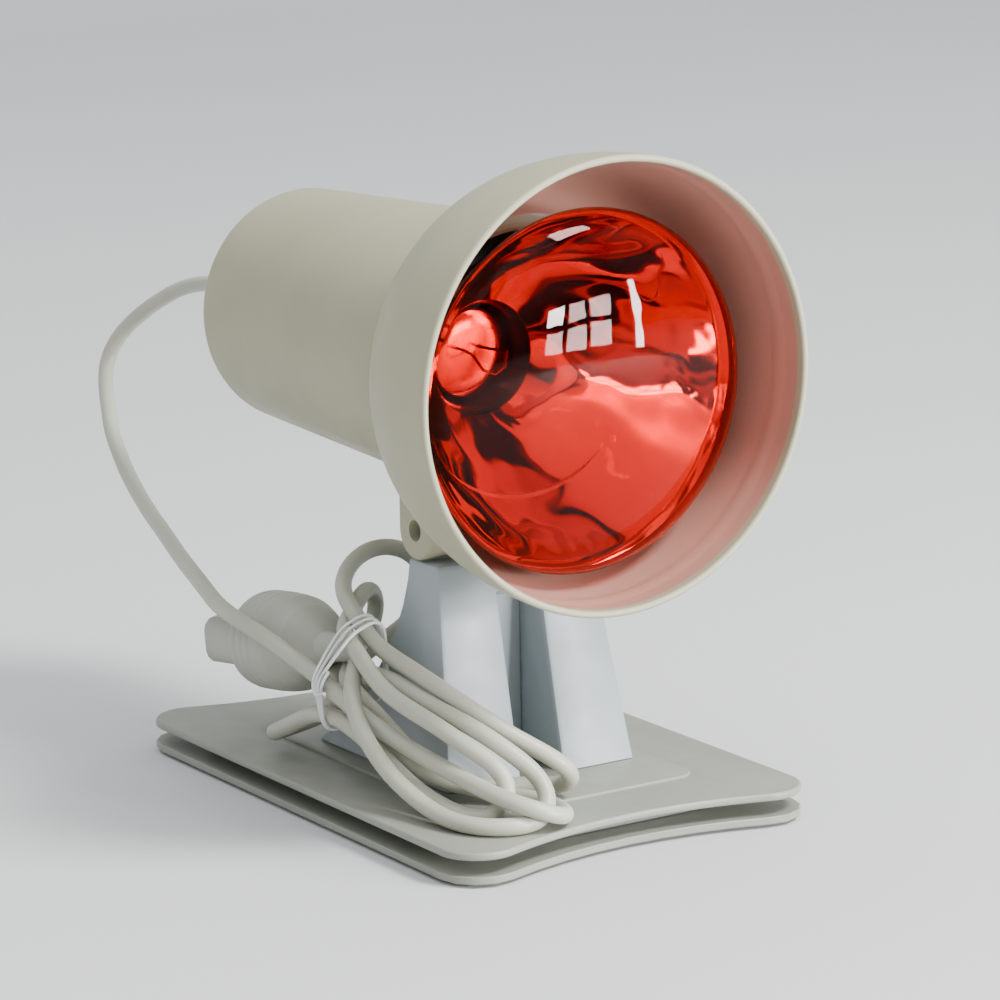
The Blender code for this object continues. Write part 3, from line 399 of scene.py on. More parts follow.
foldedRoute = [
    (-63.5, -6, 49.5), (-61, -18, 43.5), (-58, -30, 38), (-53, -51, 31), (-50, -70, 28), (-47, -86, 24.5),
    (-42, -98, 21.8), (-35, -105, 18), (-27, -102.5, 16), (-21.5, -93, 16), (-22.5, -81, 16.5),
    (-31, -67, 17), (-41.5, -56, 19.5), (-50.5, -44, 24.5), (-53.5, -28, 31.5), (-55.5, -13, 38),
    (-55, 2, 42.5), (-47, 14, 43.5), (-34, 20, 46), (-20, 24, 50), (-6, 26, 56.5), (1.5, 25, 66), (-2, 26, 76),
    (-12, 27.5, 83), (-24, 27.5, 83.5), (-35, 23, 78.5), (-42.5, 13, 72.5), (-46.5, 1, 66.5), (-47, -13, 60.5),
    (-45.5, -31, 57.5), (-44, -54, 50), (-35, -68, 43), (-20, -78, 32), (-9.5, -83.5, 24), (-5, -81, 18.5),
    (-5.5, -73, 16.6), (-12, -66, 16.4), (-26, -58, 16.6), (-38, -52.5, 18), (-45, -42, 23.5),
    (-48, -28, 31.5), (-49.5, -13, 40), (-48.5, -2, 45.5), (-44, 8, 50), (-36, 15, 54.5), (-26, 21, 58),
    (-16.5, 26, 62), (-15, 26, 68), (-20, 23.5, 71.5), (-30, 18.5, 70.5), (-38, 12, 68.5), (-46, 4.5, 66),
    (-50.5, -4, 63), (-53.5, -16, 58.5), (-55.5, -28, 52.5), (-55, -39, 48.5), (-50, -61, 43), (-45, -76, 35),
    (-40, -86, 27.5), (-37, -91.5, 21.5), (-40, -94.5, 17), (-46.5, -90, 15.6), (-50.5, -80, 15.6),
    (-53, -70, 16.4), (-55.5, -53, 19.5), (-57, -40, 26.5), (-60, -26, 33), (-61.5, -12, 37), (-61.5, 4, 34),
    (-60, 22, 26), (-57.5, 40, 18), (-51, 50, 16.5), (-45, 42, 19), (-45.5, 25, 27), (-47, 10, 37),
    (-47.5, -2, 45), (-48.5, -13, 49.8), (-49.5, -31, 51.5), (-46, -55, 47), (-40, -74, 40.5),
    (-31, -86, 30), (-26, -92, 22.5), (-28.5, -97.5, 17), (-38.5, -100, 15.4), (-50, -96.5, 15.4),
    (-57.5, -86, 15.4), (-60.5, -68, 18), (-63.5, -49, 26), (-64.5, -38, 34.5), (-63.5, -28, 42.5),
    (-60, -20, 48.5), (-54.5, -13.5, 52.6), (-50.5, -9, 55), (-48, -4.7, 56.4),
]


def smoothRoute(points, spacing):
    # a Catmull-Rom curve through the points, read off at even steps along it
    p = np.array(points) * mm
    p = np.vstack([2 * p[0] - p[1], p, 2 * p[-1] - p[-2]])
    t = np.linspace(0, 1, 16, endpoint=False)[:, None, None]
    a, b, c, d = p[None, :-3], p[None, 1:-2], p[None, 2:-1], p[None, 3:]
    spans = 0.5 * (2 * b + (c - a) * t + (2 * a - 5 * b + 4 * c - d) * t**2 + (3 * b - a - 3 * c + d) * t**3)
    curve = np.vstack([spans.transpose(1, 0, 2).reshape(-1, 3), p[-2]])
    return evenly(curve, spacing)


def evenly(curve, spacing=None):
    # points at even steps along the curve: as many as before, or one for each spacing
    along = np.concatenate([[0], np.cumsum(np.linalg.norm(np.diff(curve, axis=0), axis=1))])
    stops = np.linspace(0, along[-1], int(round(along[-1] / spacing)) + 1 if spacing else len(curve))
    return np.column_stack([np.interp(stops, along, curve[:, k]) for k in range(3)])


plugShape = {"neck": Vector((-48, -5, 56.5)) * mm, "droop": math.radians(7.6)}
plugAxis = np.array([0, math.cos(plugShape["droop"]), -math.sin(plugShape["droop"])])
plugProfile = np.array([(0, 0), (3.6, 0), (5.5, 21), (9, 24), (14, 30), (17, 38),
                        (17.8, 48), (17.8, 58), (17, 62)]) * mm  # radius, distance along


def offPlug(p, cordRadius):
    # the step that takes each point out of the plug's round body
    along = (p - np.array(plugShape["neck"])) @ plugAxis
    off = p - (np.array(plugShape["neck"]) + along[:, None] * plugAxis)
    distance = np.linalg.norm(off, axis=1) + 1e-9
    need = np.interp(along, plugProfile[:, 1], plugProfile[:, 0], left=0, right=0) + cordRadius + 0.3 * mm
    inside = (distance < need) & (along > 1 * mm) & (along < plugProfile[-1, 1])
    return np.where(inside, (need - distance) / distance, 0)[:, None] * off


def offLeg(p, cordRadius, v):
    # the shortest step out of the left leg: sideways, forwards or backwards
    up = np.clip((p[:, 2] - v["foot"] * mm) / (v["rise"] * mm), 0, 1)
    face = -(v["outer"] - v["outerLean"] * up) * mm
    front = (v["front"] + v["frontLean"] * up) * mm
    back = (v["back"] + v["backSpread"] * (1 - up) ** 2) * mm
    margin = cordRadius + 0.4 * mm
    inside = (p[:, 0] > face - margin) & (p[:, 0] < v["inner"] * mm) & (p[:, 1] > front - margin)
    inside &= (p[:, 1] < back + margin) & (p[:, 2] < v["top"] * mm)
    sideways = p[:, 0] - (face - margin)
    forwards, backwards = p[:, 1] - (front - margin), back + margin - p[:, 1]
    least = np.minimum(np.minimum(sideways, forwards), backwards)
    out = np.zeros_like(p)
    out[:, 0] -= np.where(inside & (least == sideways), sideways, 0)
    out[:, 1] -= np.where(inside & (least == forwards), forwards, 0)
    out[:, 1] += np.where(inside & (least == backwards), backwards, 0)
    return out


def evenedBends(p, hold):
    # evens out the curvature itself, so that a loop keeps its size, and eases bends that are too tight
    bow = p[:-2] - 2 * p[1:-1] + p[2:]
    p[2:-2] -= 0.06 * (bow[:-2] - 2 * bow[1:-1] + bow[2:]) * hold[2:-2]
    bow = p[:-2] - 2 * p[1:-1] + p[2:]
    size = np.linalg.norm(bow, axis=1)[:, None] + 1e-12
    ease = 0.25 * bow * np.clip(1 - lead["spacing"] ** 2 / lead["tightest"] / size, 0, 1)
    p[1:-1] += ease * hold[1:-1]
    p[:-2] -= 0.5 * ease * hold[:-2]
    p[2:] -= 0.5 * ease * hold[2:]


def settled(points, fixedHead, cordRadius, rounds):
    # strands pushed apart to one diameter, off the base, the plug and the leg, and smoothed after each push
    p = points.copy()
    count = len(p)
    order = np.arange(count)
    near = np.abs(order[:, None] - order[None, :]) < int(4.2 * cordRadius / lead["spacing"]) + 2
    gap = 2 * cordRadius * 1.015
    hold = np.ones((count, 1))  # 0 where a point stays as laid
    hold[:fixedHead] = 0
    hold[fixedHead:fixedHead + 8, 0] = np.linspace(0, 1, 8)
    hold[-4:] = 0
    for turn in range(rounds):
        if turn % 8 == 0:
            p = evenly(p)
        apart = p[:, None] - p[None, :]
        reach = np.linalg.norm(apart, axis=2) + 1e-9
        push = np.where((reach < gap) & ~near, (gap - reach) / reach * 0.35, 0)
        move = (apart * push[:, :, None]).sum(1)
        onPad = np.abs(p[:, 0]) < lead["padHalf"]
        onPad &= (p[:, 1] > lead["padEnds"][0]) & (p[:, 1] < lead["padEnds"][1])
        floor = np.where(onPad, lead["padTop"], lead["plateTop"]) + cordRadius + 0.2 * mm
        move[:, 2] += np.clip(floor - p[:, 2], 0, None)
        move += offPlug(p, cordRadius)
        move += offLeg(p, cordRadius, legShape)
        p += move * hold
        for _ in range(3):
            evenedBends(p, hold)
    return p


def sweptTube(name, path, radius, sides, material):
    # a circle carried along the path in frames that turn as little as they can, with round-edged closed ends
    tangent = np.gradient(path, axis=0)
    tangent /= np.linalg.norm(tangent, axis=1)[:, None]
    normal = np.zeros_like(path)
    first = np.cross(tangent[0], [0, 0, 1.0])
    normal[0] = first / np.linalg.norm(first)
    for k in range(1, len(path)):
        carried = normal[k - 1] - tangent[k] * (normal[k - 1] @ tangent[k])
        normal[k] = carried / np.linalg.norm(carried)
    side = np.cross(tangent, normal)
    a = np.linspace(0, 2 * np.pi, sides, endpoint=False)
    around = normal[:, None] * np.cos(a)[None, :, None] + side[:, None] * np.sin(a)[None, :, None]
    skin = path[:, None] + radius * around
    ends = [path[:1, None] + 0.7 * radius * around[:1] - 0.25 * radius * tangent[0],
            path[-1:, None] + 0.7 * radius * around[-1:] + 0.25 * radius * tangent[-1]]
    return loftPiece(name, np.concatenate([ends[0], skin, ends[1]]), 60, material)


freePath = smoothRoute(freeRoute, lead["spacing"])
wholePath = smoothRoute(freeRoute + foldedRoute, lead["spacing"])
heldPoints = len(freePath) - 6
wholePath = settled(wholePath, heldPoints, lead["radius"], lead["settleRounds"])
cord = sweptTube("mains_lead", wholePath, lead["radius"], lead["sides"], finishes["cord"])


# ---- the head: housing, shade, bulb and gland

housing = {
    "frontRadius": 49.15, "rearRadius": 43.2, "frontDepth": 63.3, "rearDepth": 210.0, "rearRound": 7.0,
    "wall": 2.4, "spigot": 47.65, "spigotBore": 45.95, "bead": 48.75, "spigotFront": 58.5,  # mm from the rim
    "lugHalf": 33.0, "lugRadius": 10.3, "lugTop": 124.0, "lugFront": -35.2, "lugLean": 32.0,
    "slotHalf": 10.0, "slotTop": 110.0, "vents": 8, "ventInner": 19.0, "ventOuter": 33.0, "leadHole": 5.2,
    "recess": 3.8, "recessDepth": 7.0, "boltHole": 2.3, "ventWidth": 3.4, "steps": 128,
}


def housingProfile(v):
    # closed outline (radius, depth): up the tapered outside, round the rear corner, and back along the inside
    taper = (v["rearRadius"] - v["frontRadius"]) / (v["rearDepth"] - v["frontDepth"])
    r, w = v["rearRound"], v["wall"]
    corner = arcPoints((v["rearRadius"] - r, v["rearDepth"] - r), r, 0, 90, 9)
    corner[:, 0] = np.minimum(corner[:, 0], v["frontRadius"] + taper * (corner[:, 1] - v["frontDepth"]))
    inner = arcPoints((v["rearRadius"] - r, v["rearDepth"] - r), r - w, 90, 0, 9)
    outside = [(v["frontRadius"] - 0.7, v["frontDepth"]), (v["frontRadius"] - 0.2, v["frontDepth"] + 0.2),
               (v["frontRadius"], v["frontDepth"] + 0.8)]
    spigot = [(v["spigotBore"], v["spigotFront"]), (v["spigot"] - 0.5, v["spigotFront"]),
              (v["spigot"], v["spigotFront"] + 0.5), (v["spigot"], 59.6), (v["bead"], 60.4), (v["bead"], 60.8),
              (v["spigot"], 61.6), (v["spigot"], v["frontDepth"])]
    inside = [(v["frontRadius"] - w - 0.3, v["frontDepth"] + 8), (v["spigotBore"], v["frontDepth"] + 3)]
    middle = [(0.01, v["rearDepth"]), (0.01, v["rearDepth"] - w)]
    return np.array(spigot + outside + corner.tolist() + middle + inner.tolist() + inside) * mm


def makeHousing(v):
    shell = turnedPiece("lamp_head_shell", housingProfile(v), v["steps"])
    lug = lugPiece(v)
    hollow = np.array([(0.01, 60), (46.2, 60), (46.2, 66), (43.6, 200), (0.01, 200)]) * mm
    core = turnedPiece("lugCore", hollow, 96)
    boolean(lug, [core])
    boolean(shell, [lug], "UNION")
    cutters = [boxPiece("slot", (-v["slotHalf"] * mm, pivotY - 40 * mm, 80 * mm),
                        (v["slotHalf"] * mm, pivotY + 11 * mm, v["slotTop"] * mm)),
               barAlongX("bolt", v["boltHole"] * mm, 60 * mm, pivotY, pivotZ)]
    for side in (-1, 1):
        bar = barAlongX("recess", v["recess"] * mm, v["recessDepth"] * mm, pivotY, pivotZ)
        bar.data.transform(Matrix.Translation((side * v["lugHalf"] * mm, 0, 0)))
        cutters.append(bar)
    for k in range(v["vents"]):
        cutters.append(ventPiece(2 * math.pi * (k + 0.5) / v["vents"], v))
    rear = rimY + v["rearDepth"] * mm
    cutters.append(barAlongY("lead", v["leadHole"] * mm, rear - 8 * mm, rear + 4 * mm, 0, axisZ))
    boolean(shell, cutters)
    shell.data.materials.clear()
    shell.data.materials.append(finishes["shell"])
    shell.data.set_sharp_from_angle(angle=math.radians(32))
    return shell


def barAlongY(name, radius, low, high, x, z, steps=40):
    a = np.linspace(0, 2 * np.pi, steps, endpoint=False)
    ring = np.column_stack([x + radius * np.cos(a), np.zeros(steps), z + radius * np.sin(a)])
    return loftPiece(name, [ring + [0, low, 0], ring + [0, high, 0]])


def lugPiece(v):
    # the block under the head: round about the pivot, its front face leaning forward, its sides softened
    r, y, z = v["lugRadius"] * mm, pivotY, pivotZ
    top, front = v["lugTop"] * mm, v["lugFront"] * mm
    nose = arcPoints((y, z), r, 0, v["lugLean"] - 180, 22)
    lastY, lastZ = nose[-1]
    riseZ = lastZ + (lastY - front) / math.tan(math.radians(v["lugLean"]))
    outline = np.vstack([[(y + r, top)], nose, [(front, min(riseZ, top - 1 * mm)), (front, top)]])
    half = v["lugHalf"] * mm
    soft = 1.2 * mm
    centre = outline.mean(0)
    rows = []
    for x, inset in ((-half, soft), (-half + 0.35 * soft, 0.35 * soft), (-half + soft, 0), (half - soft, 0),
                     (half - 0.35 * soft, 0.35 * soft), (half, soft)):
        pulled = centre + (outline - centre) * (1 - inset / (r * 1.4))
        rows.append(np.column_stack([np.full(len(pulled), x), pulled]))
    return loftPiece("lug", rows)


def ventPiece(angle, v):
    # a round-ended slot through the rear wall
    half, low, high = v["ventWidth"] / 2 * mm, v["ventInner"] * mm, v["ventOuter"] * mm
    ends = np.vstack([arcPoints((high - half, 0), half, -90, 90, 9),
                      arcPoints((low + half, 0), half, 90, 270, 9)])
    x = ends[:, 0] * math.cos(angle) - ends[:, 1] * math.sin(angle)
    z = axisZ + ends[:, 0] * math.sin(angle) + ends[:, 1] * math.cos(angle)
    rear = rimY + v["rearDepth"] * mm
    depths = (rear - 6 * mm, rear + 3 * mm)
    return loftPiece("vent", [np.column_stack([x, np.full(len(x), y), z]) for y in depths])


headShell = makeHousing(housing)
print("head shell made")

shade = {
    "rimRadius": 77.5, "rearRadius": 49.15, "depth": 63.0, "power": 2.17, "wall": 2.5,
    "ringDepth": 13.5, "ringHeight": 0.55, "rearHole": 47.95, "steps": 160, "rows": 40,
}


def shadeOuter(v, depth):
    # a superellipse quarter: rear radius + the rest of the flare x (1 - (depth / length)^2)^(1 / power)
    flare = v["rimRadius"] - v["rearRadius"]
    return v["rearRadius"] + flare * np.clip(1 - (depth / v["depth"]) ** 2, 0, 1) ** (1 / v["power"])


def makeShade(v):
    w = v["wall"]
    even = np.sin(np.linspace(0, np.pi / 2, v["rows"]))
    depth = w / 2 + (v["depth"] - w / 2) * even
    outer = np.column_stack([shadeOuter(v, depth), depth])
    slope = np.gradient(outer, axis=0)
    normal = np.column_stack([slope[:, 1], -slope[:, 0]])
    normal /= np.linalg.norm(normal, axis=1)[:, None]
    inner = (outer - w * normal)[:-1]
    inner = inner[inner[:, 1] < v["depth"] - w]
    ring = np.exp(-((inner[:, 1] - v["ringDepth"]) / 0.8) ** 2)
    inner[:, 0] -= v["ringHeight"] * ring
    tip = arcPoints((outer[0, 0] - w / 2, outer[0, 1]), w / 2, 0, -180, 9)
    rear = [(v["rearHole"] + 0.8, v["depth"]), (v["rearHole"], v["depth"]), (v["rearHole"], v["depth"] - w),
            (v["rearHole"], v["depth"] - w - 0.6)]
    profile = np.vstack([tip[::-1][:-1], outer, rear, inner[::-1][:-1]])
    made = turnedPiece("flared_shade", profile * mm, v["steps"], smooth=50, material=finishes["shadeSkin"])
    made.data.materials.append(finishes["shadeInsidePaintedBounce"])
    # inside faces behind the rim take the pink material: painted red bounce light from the bulb
    for face in made.data.polygons:
        inwards = face.normal.x * face.center.x + face.normal.z * (face.center.z - axisZ)
        face.material_index = 1 if inwards < 0 and face.center.y > rimY + v["wall"] * mm else 0
    return made


flaredShade = makeShade(shade)
print("shade made")

# in mm and degrees; the dish is r squared = focus (dish - depth)
bulb = {
    "radius": 62.5, "apex": 5.0, "edgeDepth": 22.5, "focus": 54.25, "dish": 94.5, "neck": 18.5,
    "neckEnd": 142.0, "glass": 1.0, "coat": 0.12, "steps": 144,
    "mirrorEnd": 21.0, "discRadius": 16.0, "discDepth": 93.0, "droop": 2.3,
}


def makeBulb(v):
    t = np.linspace(0, 90, 26)
    dome = np.column_stack([v["radius"] * np.sin(np.radians(t)),
                            v["edgeDepth"] - (v["edgeDepth"] - v["apex"]) * np.cos(np.radians(t))])
    edge = np.array([(v["radius"] + 0.05, v["edgeDepth"] + 1.4), (v["radius"] - 0.2, v["edgeDepth"] + 2.8)])
    d = np.linspace(v["edgeDepth"] + 4.5, v["dish"] - v["neck"] ** 2 / v["focus"] - 2, 34)
    dish = np.column_stack([np.sqrt(v["focus"] * (v["dish"] - d)), d])
    back = v["dish"] - v["neck"] ** 2 / v["focus"]
    neck = np.array([(v["neck"] + 0.9, back + 1.0), (v["neck"] + 0.25, back + 4), (v["neck"], back + 9),
                     (v["neck"], v["neckEnd"] - 3), (13.5, v["neckEnd"] + 4), (12.4, v["neckEnd"] + 6)])
    outer = np.vstack([dome, edge, dish, neck])
    slope = np.gradient(outer, axis=0)
    normal = np.column_stack([slope[:, 1], -slope[:, 0]])
    normal /= np.linalg.norm(normal, axis=1)[:, None] + 1e-12
    inner = outer - v["glass"] * normal
    inner[0] = (0.0, outer[0, 1] + v["glass"])
    inner[:, 0] = np.clip(inner[:, 0], 0, None)
    skin = np.vstack([outer, inner[::-1]])
    skin[:, 0] = np.maximum(skin[:, 0], 0.002)
    glass = turnedPiece("ruby_glass_bulb", skin * mm, v["steps"], smooth=60, material=finishes["ruby"])
    first = len(dome) + 1
    last = first + int((outer[first:, 0] > v["mirrorEnd"]).sum())
    mid = inner[first:last] - 0.04 * normal[first:last]
    coatIn = mid - v["coat"] * normal[first:last]
    coat = np.vstack([mid, coatIn[::-1]])
    mirror = turnedPiece("mirror_coat", coat * mm, v["steps"], smooth=60, material=finishes["mirror"])
    at, r = v["discDepth"], v["discRadius"]
    rim = [(0.002, at - 0.9), (r * 0.55, at - 0.5), (r - 0.8, at + 0.2), (r - 0.2, at + 0.6), (r, at + 1.0)]
    rim += [(r - 0.35, at + 1.15), (r - 1.0, at + 0.75), (r * 0.55, at + 0.0), (0.002, at - 0.4)]
    disc = turnedPiece("heat_deflector", np.array(rim) * mm, 72, smooth=50, material=finishes["deflector"])
    droop = Matrix.Rotation(math.radians(v["droop"]), 4, "X")
    hold = Matrix.Translation((0, rimY + v["neckEnd"] * mm, axisZ))
    for piece in (glass, mirror, disc):
        piece.data.transform(hold @ droop @ hold.inverted())
    return glass, mirror, disc


bulbGlass, bulbMirror, bulbDisc = makeBulb(bulb)
print("bulb made")

gland = {
    "flange": 8.5, "flangeFrom": 210.3, "flangeTo": 212.7, "root": 6.6, "tip": 4.2, "end": 245.0,
    "bore": 3.02, "ribs": 6, "ribDepth": 0.75,
}


def makeGland(v):
    # a flange, then a taper notched by round grooves, with the lead's bore inside
    start, end = v["flangeTo"], v["end"]
    d = np.linspace(start + 0.4, end - 0.5, 90)
    part = (d - start) / (end - start)
    r = v["root"] + (v["tip"] - v["root"]) * part
    wave = 0.5 - 0.5 * np.cos(2 * np.pi * np.clip((part - 0.14) / 0.72, 0, 1) * v["ribs"])
    r = r - v["ribDepth"] * np.where((part > 0.14) & (part < 0.86), wave**2, 0)
    head = [(v["bore"], v["flangeFrom"]), (v["flange"] - 0.4, v["flangeFrom"]),
            (v["flange"], v["flangeFrom"] + 0.5), (v["flange"], start - 0.7),
            (v["flange"] - 0.7, start), (v["root"] + 0.4, start)]
    tail = [(v["tip"] - 0.4, end), (v["bore"], end)]
    return turnedPiece("strain_relief", np.vstack([head, np.column_stack([r, d]), tail]) * mm, 48, smooth=40,
                       material=finishes["cord"])


reliefPiece = makeGland(gland)


# ---- the plug

plug = {
    "ridge": 0.3, "gripFrom": 44.0, "gripTo": 58.0, "grips": 3, "steps": 72,
    # distances from the neck, and the radius at each
    "stations": (0, 0.6, 3, 12, 21, 24, 27, 30, 34, 38, 43, 48, 53, 58, 60.5, 61.6, 62),
    "radii": (2.9, 3.5, 3.65, 4.6, 5.5, 8.6, 11.6, 14, 15.7, 17, 17.55, 17.8, 17.8, 17.8, 17.45, 16.7, 15.6),
}


def makePlug(v):
    # a body turned round its own axis, its front softened and its waist grooved for grip
    length = v["stations"][-1]
    fine = np.unique(np.concatenate([np.linspace(0, length, 150), v["stations"]]))
    radius = np.interp(fine, v["stations"], v["radii"])
    part = (fine - v["gripFrom"]) / (v["gripTo"] - v["gripFrom"])
    groove = (0.5 - 0.5 * np.cos(2 * np.pi * part * v["grips"])) ** 3
    radius = radius - v["ridge"] * np.where((part > 0) & (part < 1), groove, 0)
    profile = np.column_stack([np.concatenate([[0.01], radius, [0.01]]),
                               np.concatenate([[0], fine, [length]])]) * mm
    a = np.linspace(0, 2 * np.pi, v["steps"], endpoint=False)[None, :]
    across, upward = np.array([1.0, 0, 0]), np.cross([1.0, 0, 0], plugAxis)
    rr, ss = profile[:, :1], profile[:, 1:]
    ring = (rr * np.cos(a))[..., None] * across + (rr * np.sin(a))[..., None] * upward
    points = np.array(plugShape["neck"]) + (ss + 0 * a)[..., None] * plugAxis + ring
    return newObject("moulded_plug", points, gridFaces(len(profile), v["steps"]), 34, finishes["plug"])


plugBody = makePlug(plug)
pinCover = nodeCopy("plug_pin_cover", "pin_cover", 0.0005, material=finishes["plug"])
pins = [nodeCopy("plug_pin_" + str(k), "contact_pin_" + str(k), 0.0, material=finishes["nickel"])
        for k in (1, 2)]
print("plug made")


# ---- the tie round the hank

tie = {"radius": 0.6, "turns": 3.1, "centreY": -10.5, "pitch": 1.5, "sides": 8, "tail": 15.0, "slack": 1.4}


def hullOf(points):
    # the convex outline of points in a plane, counterclockwise
    pts = sorted(map(tuple, points))
    halves = []
    for run in (pts, pts[::-1]):
        chain = []
        for p in run:
            while len(chain) > 1 and ((chain[-1][0] - chain[-2][0]) * (p[1] - chain[-2][1])
                                      - (chain[-1][1] - chain[-2][1]) * (p[0] - chain[-2][0])) <= 0:
                chain.pop()
            chain.append(p)
        halves.append(chain[:-1])
    return np.array(halves[0] + halves[1])


def makeTie(v, path):
    # the strands' outline where the tie sits, let out by a strand's radius, wound round like a screw
    y = v["centreY"] * mm
    crossing = path[heldPoints:]
    near = crossing[(np.abs(crossing[:, 1] - y) < 5 * mm) & (crossing[:, 0] < -38 * mm)][:, [0, 2]]
    a = np.linspace(0, 2 * np.pi, 14, endpoint=False)
    reach = lead["radius"] + v["radius"] * mm
    spread = (near[:, None] + reach * np.column_stack([np.cos(a), np.sin(a)])[None]).reshape(-1, 2)
    outline = hullOf(spread)
    closed = np.vstack([outline, outline[:1]])
    along = np.concatenate([[0], np.cumsum(np.linalg.norm(np.diff(closed, axis=0), axis=1))])
    t = np.linspace(0, v["turns"], int(v["turns"] * along[-1] / (1.2 * mm)))
    s = ((t + 0.94) % 1.0) * along[-1]
    ring = np.column_stack([np.interp(s, along, closed[:, k]) for k in (0, 1)])
    middle = near.mean(0)
    away = (ring - middle) / np.linalg.norm(ring - middle, axis=1)[:, None]
    loose = v["slack"] * mm * (t / v["turns"] + 0.35 * np.sin(2.7 * t + 0.6) ** 2)
    lean = 1.6 * mm * np.sin(2 * np.pi * t + 0.9 * t) + 0.7 * mm * np.sin(5.1 * t)
    ring += away * loose[:, None]
    coil = np.column_stack([ring[:, 0], y + (t - v["turns"] / 2) * v["pitch"] * mm + lean, ring[:, 1]])
    tails = []
    for end, lengthways in ((0, 1.0), (-1, -1.0)):
        out = np.array([coil[end, 0] - middle[0], 0.0, coil[end, 2] - middle[1]])
        out /= np.linalg.norm(out)
        k = np.linspace(0.08, 1, 12)[:, None]
        bend = np.array([0.1, 0.75 * lengthways, -0.35 * lengthways])
        tails.append(coil[end] + v["tail"] * mm * (k * bend + 0.30 * k**2 * out))
    whole = np.vstack([tails[0][::-1], coil, tails[1]])
    for _ in range(6):
        whole[1:-1] += 0.4 * ((whole[:-2] + whole[2:]) / 2 - whole[1:-1])
    return sweptTube("wire_tie", whole, v["radius"] * mm, v["sides"], finishes["tie"])


wireTie = makeTie(tie, wholePath)
print("tie made")


# ---- the base and stand

baseParts = {
    "halfWidth": 72.5, "halfLength": 110.0, "corner": 15.0, "scoop": 10.0, "edge": 0.9,
    "padX": 46.5, "padFront": -76.0, "padBack": 69.0, "padCorner": 8.0, "padHeight": 1.0,
}


def baseOutline(v, inset, steps=18):
    # rounded corners, then each end scooped inwards by one long arc tangent to the corners
    w, c, s = v["halfWidth"] - v["corner"], v["corner"], v["scoop"]
    big = (w * w + s * s) / (2 * s)
    past = math.degrees(math.asin(min(1.0, w / big)))
    cy = v["halfLength"] - c
    corner = arcPoints((w, cy), c - inset, 0, 90 + past, steps)
    centre = cy + math.sqrt(max(big * big - w * w, 0))
    reach = math.hypot(w, centre - cy)
    spread = math.degrees(math.asin(w / reach))
    scoopArc = arcPoints((0.0, centre), reach - c + inset, -90 + spread, -90 - spread, 44)
    half = np.vstack([corner, scoopArc[1:-1], corner[::-1] * [-1, 1]])
    return np.vstack([half, -half]) * mm


def plateLevels(low, high, edge):
    # (inset, height) pairs that round both edges of a plate
    a = np.radians([0, 22, 45, 68, 90])
    up = [(edge * (1 - math.sin(t)), low + edge * (1 - math.cos(t))) for t in a]
    down = [(i, high - (z - low)) for i, z in reversed(up)]
    return up + down


def makePlate(name, low, high, v, material):
    rings = []
    for inset, z in plateLevels(low, high, v["edge"]):
        flat = baseOutline(v, inset)
        rings.append(np.column_stack([flat, np.full(len(flat), z * mm)]))
    return loftPiece(name, rings, 30, material)


def makeTopPlate(v):
    plate = makePlate("top_plate", 9.5, 12.3, v, finishes["base"])
    rings = []
    for inset, z in ((0.0, 11.5), (0.0, 12.3 + v["padHeight"] * 0.45), (0.25, 12.3 + v["padHeight"] * 0.85),
                     (0.6, 12.3 + v["padHeight"])):
        flat = roundedRect(-v["padX"] + inset, v["padX"] - inset, v["padFront"] + inset, v["padBack"] - inset,
                           v["padCorner"] - inset, 10)
        rings.append(np.column_stack([flat, np.full(len(flat), z)]) * mm)
    pad = loftPiece("pad", rings)
    boolean(plate, [pad], "UNION")
    holes = [roundHole(x, y, 1.3, 9.0, 11.2) for x in (-52.5, 52.5) for y in (-82, 82)]
    holes += [roundHole(x, y, 1.7, 9.0, 14.0) for x in (-24, 24) for y in (-35, 10)]
    boolean(plate, holes)
    plate.data.set_sharp_from_angle(angle=math.radians(28))
    return plate


def roundHole(x, y, radius, low, high, steps=32):
    a = np.linspace(0, 2 * np.pi, steps, endpoint=False)
    ring = np.column_stack([x + radius * np.cos(a), y + radius * np.sin(a)])
    return loftPiece("hole", [np.column_stack([ring, np.full(steps, z)]) * mm for z in (low, high)])


topPlate = makeTopPlate(baseParts)
print("base plate made")
standPieces = {
    "left_leg": nodeCopy("left_leg", "leg_cheek_left", 0.0004, material=finishes["leg"]),
    "right_leg": nodeCopy("right_leg", "leg_cheek_right", 0.0004, material=finishes["leg"]),
    "stand_web": nodeCopy("stand_web", "centre_web", 0.0004, material=finishes["leg"]),
    "base_spacer": nodeCopy("base_spacer", "spacer_frame", 0.0004, material=finishes["spacer"]),
    "base_bottom_plate": nodeCopy("base_bottom_plate", "bottom_plate", 0.0004, material=finishes["base"]),
}
print("stand made")


# ---- what each piece rides on, and what it stands for

for piece, body, stood in (
    (headShell, "head", ["lamp_housing"]), (flaredShade, "head", ["lamp_shade"]),
    (bulbGlass, "head", ["bulb_glass"]), (bulbMirror, "head", []), (bulbDisc, "head", []),
    (reliefPiece, "head", ["cord_gland"]), (plugBody, "base", ["plug_body"]),
    (pinCover, "base", ["plug_pin_cover"]), (pins[0], "base", ["plug_pin_1"]),
    (pins[1], "base", ["plug_pin_2"]), (wireTie, "base", ["twist_tie"]),
    (topPlate, "base", ["base_top_plate"]),
):
    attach(piece, body)
    if stood:
        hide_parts(*stood)
for node, piece in standPieces.items():
    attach(piece, "base")
    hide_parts(node)

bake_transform(cord)
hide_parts("cord_run", "hank_front", "hank_rear", "hank_loops")

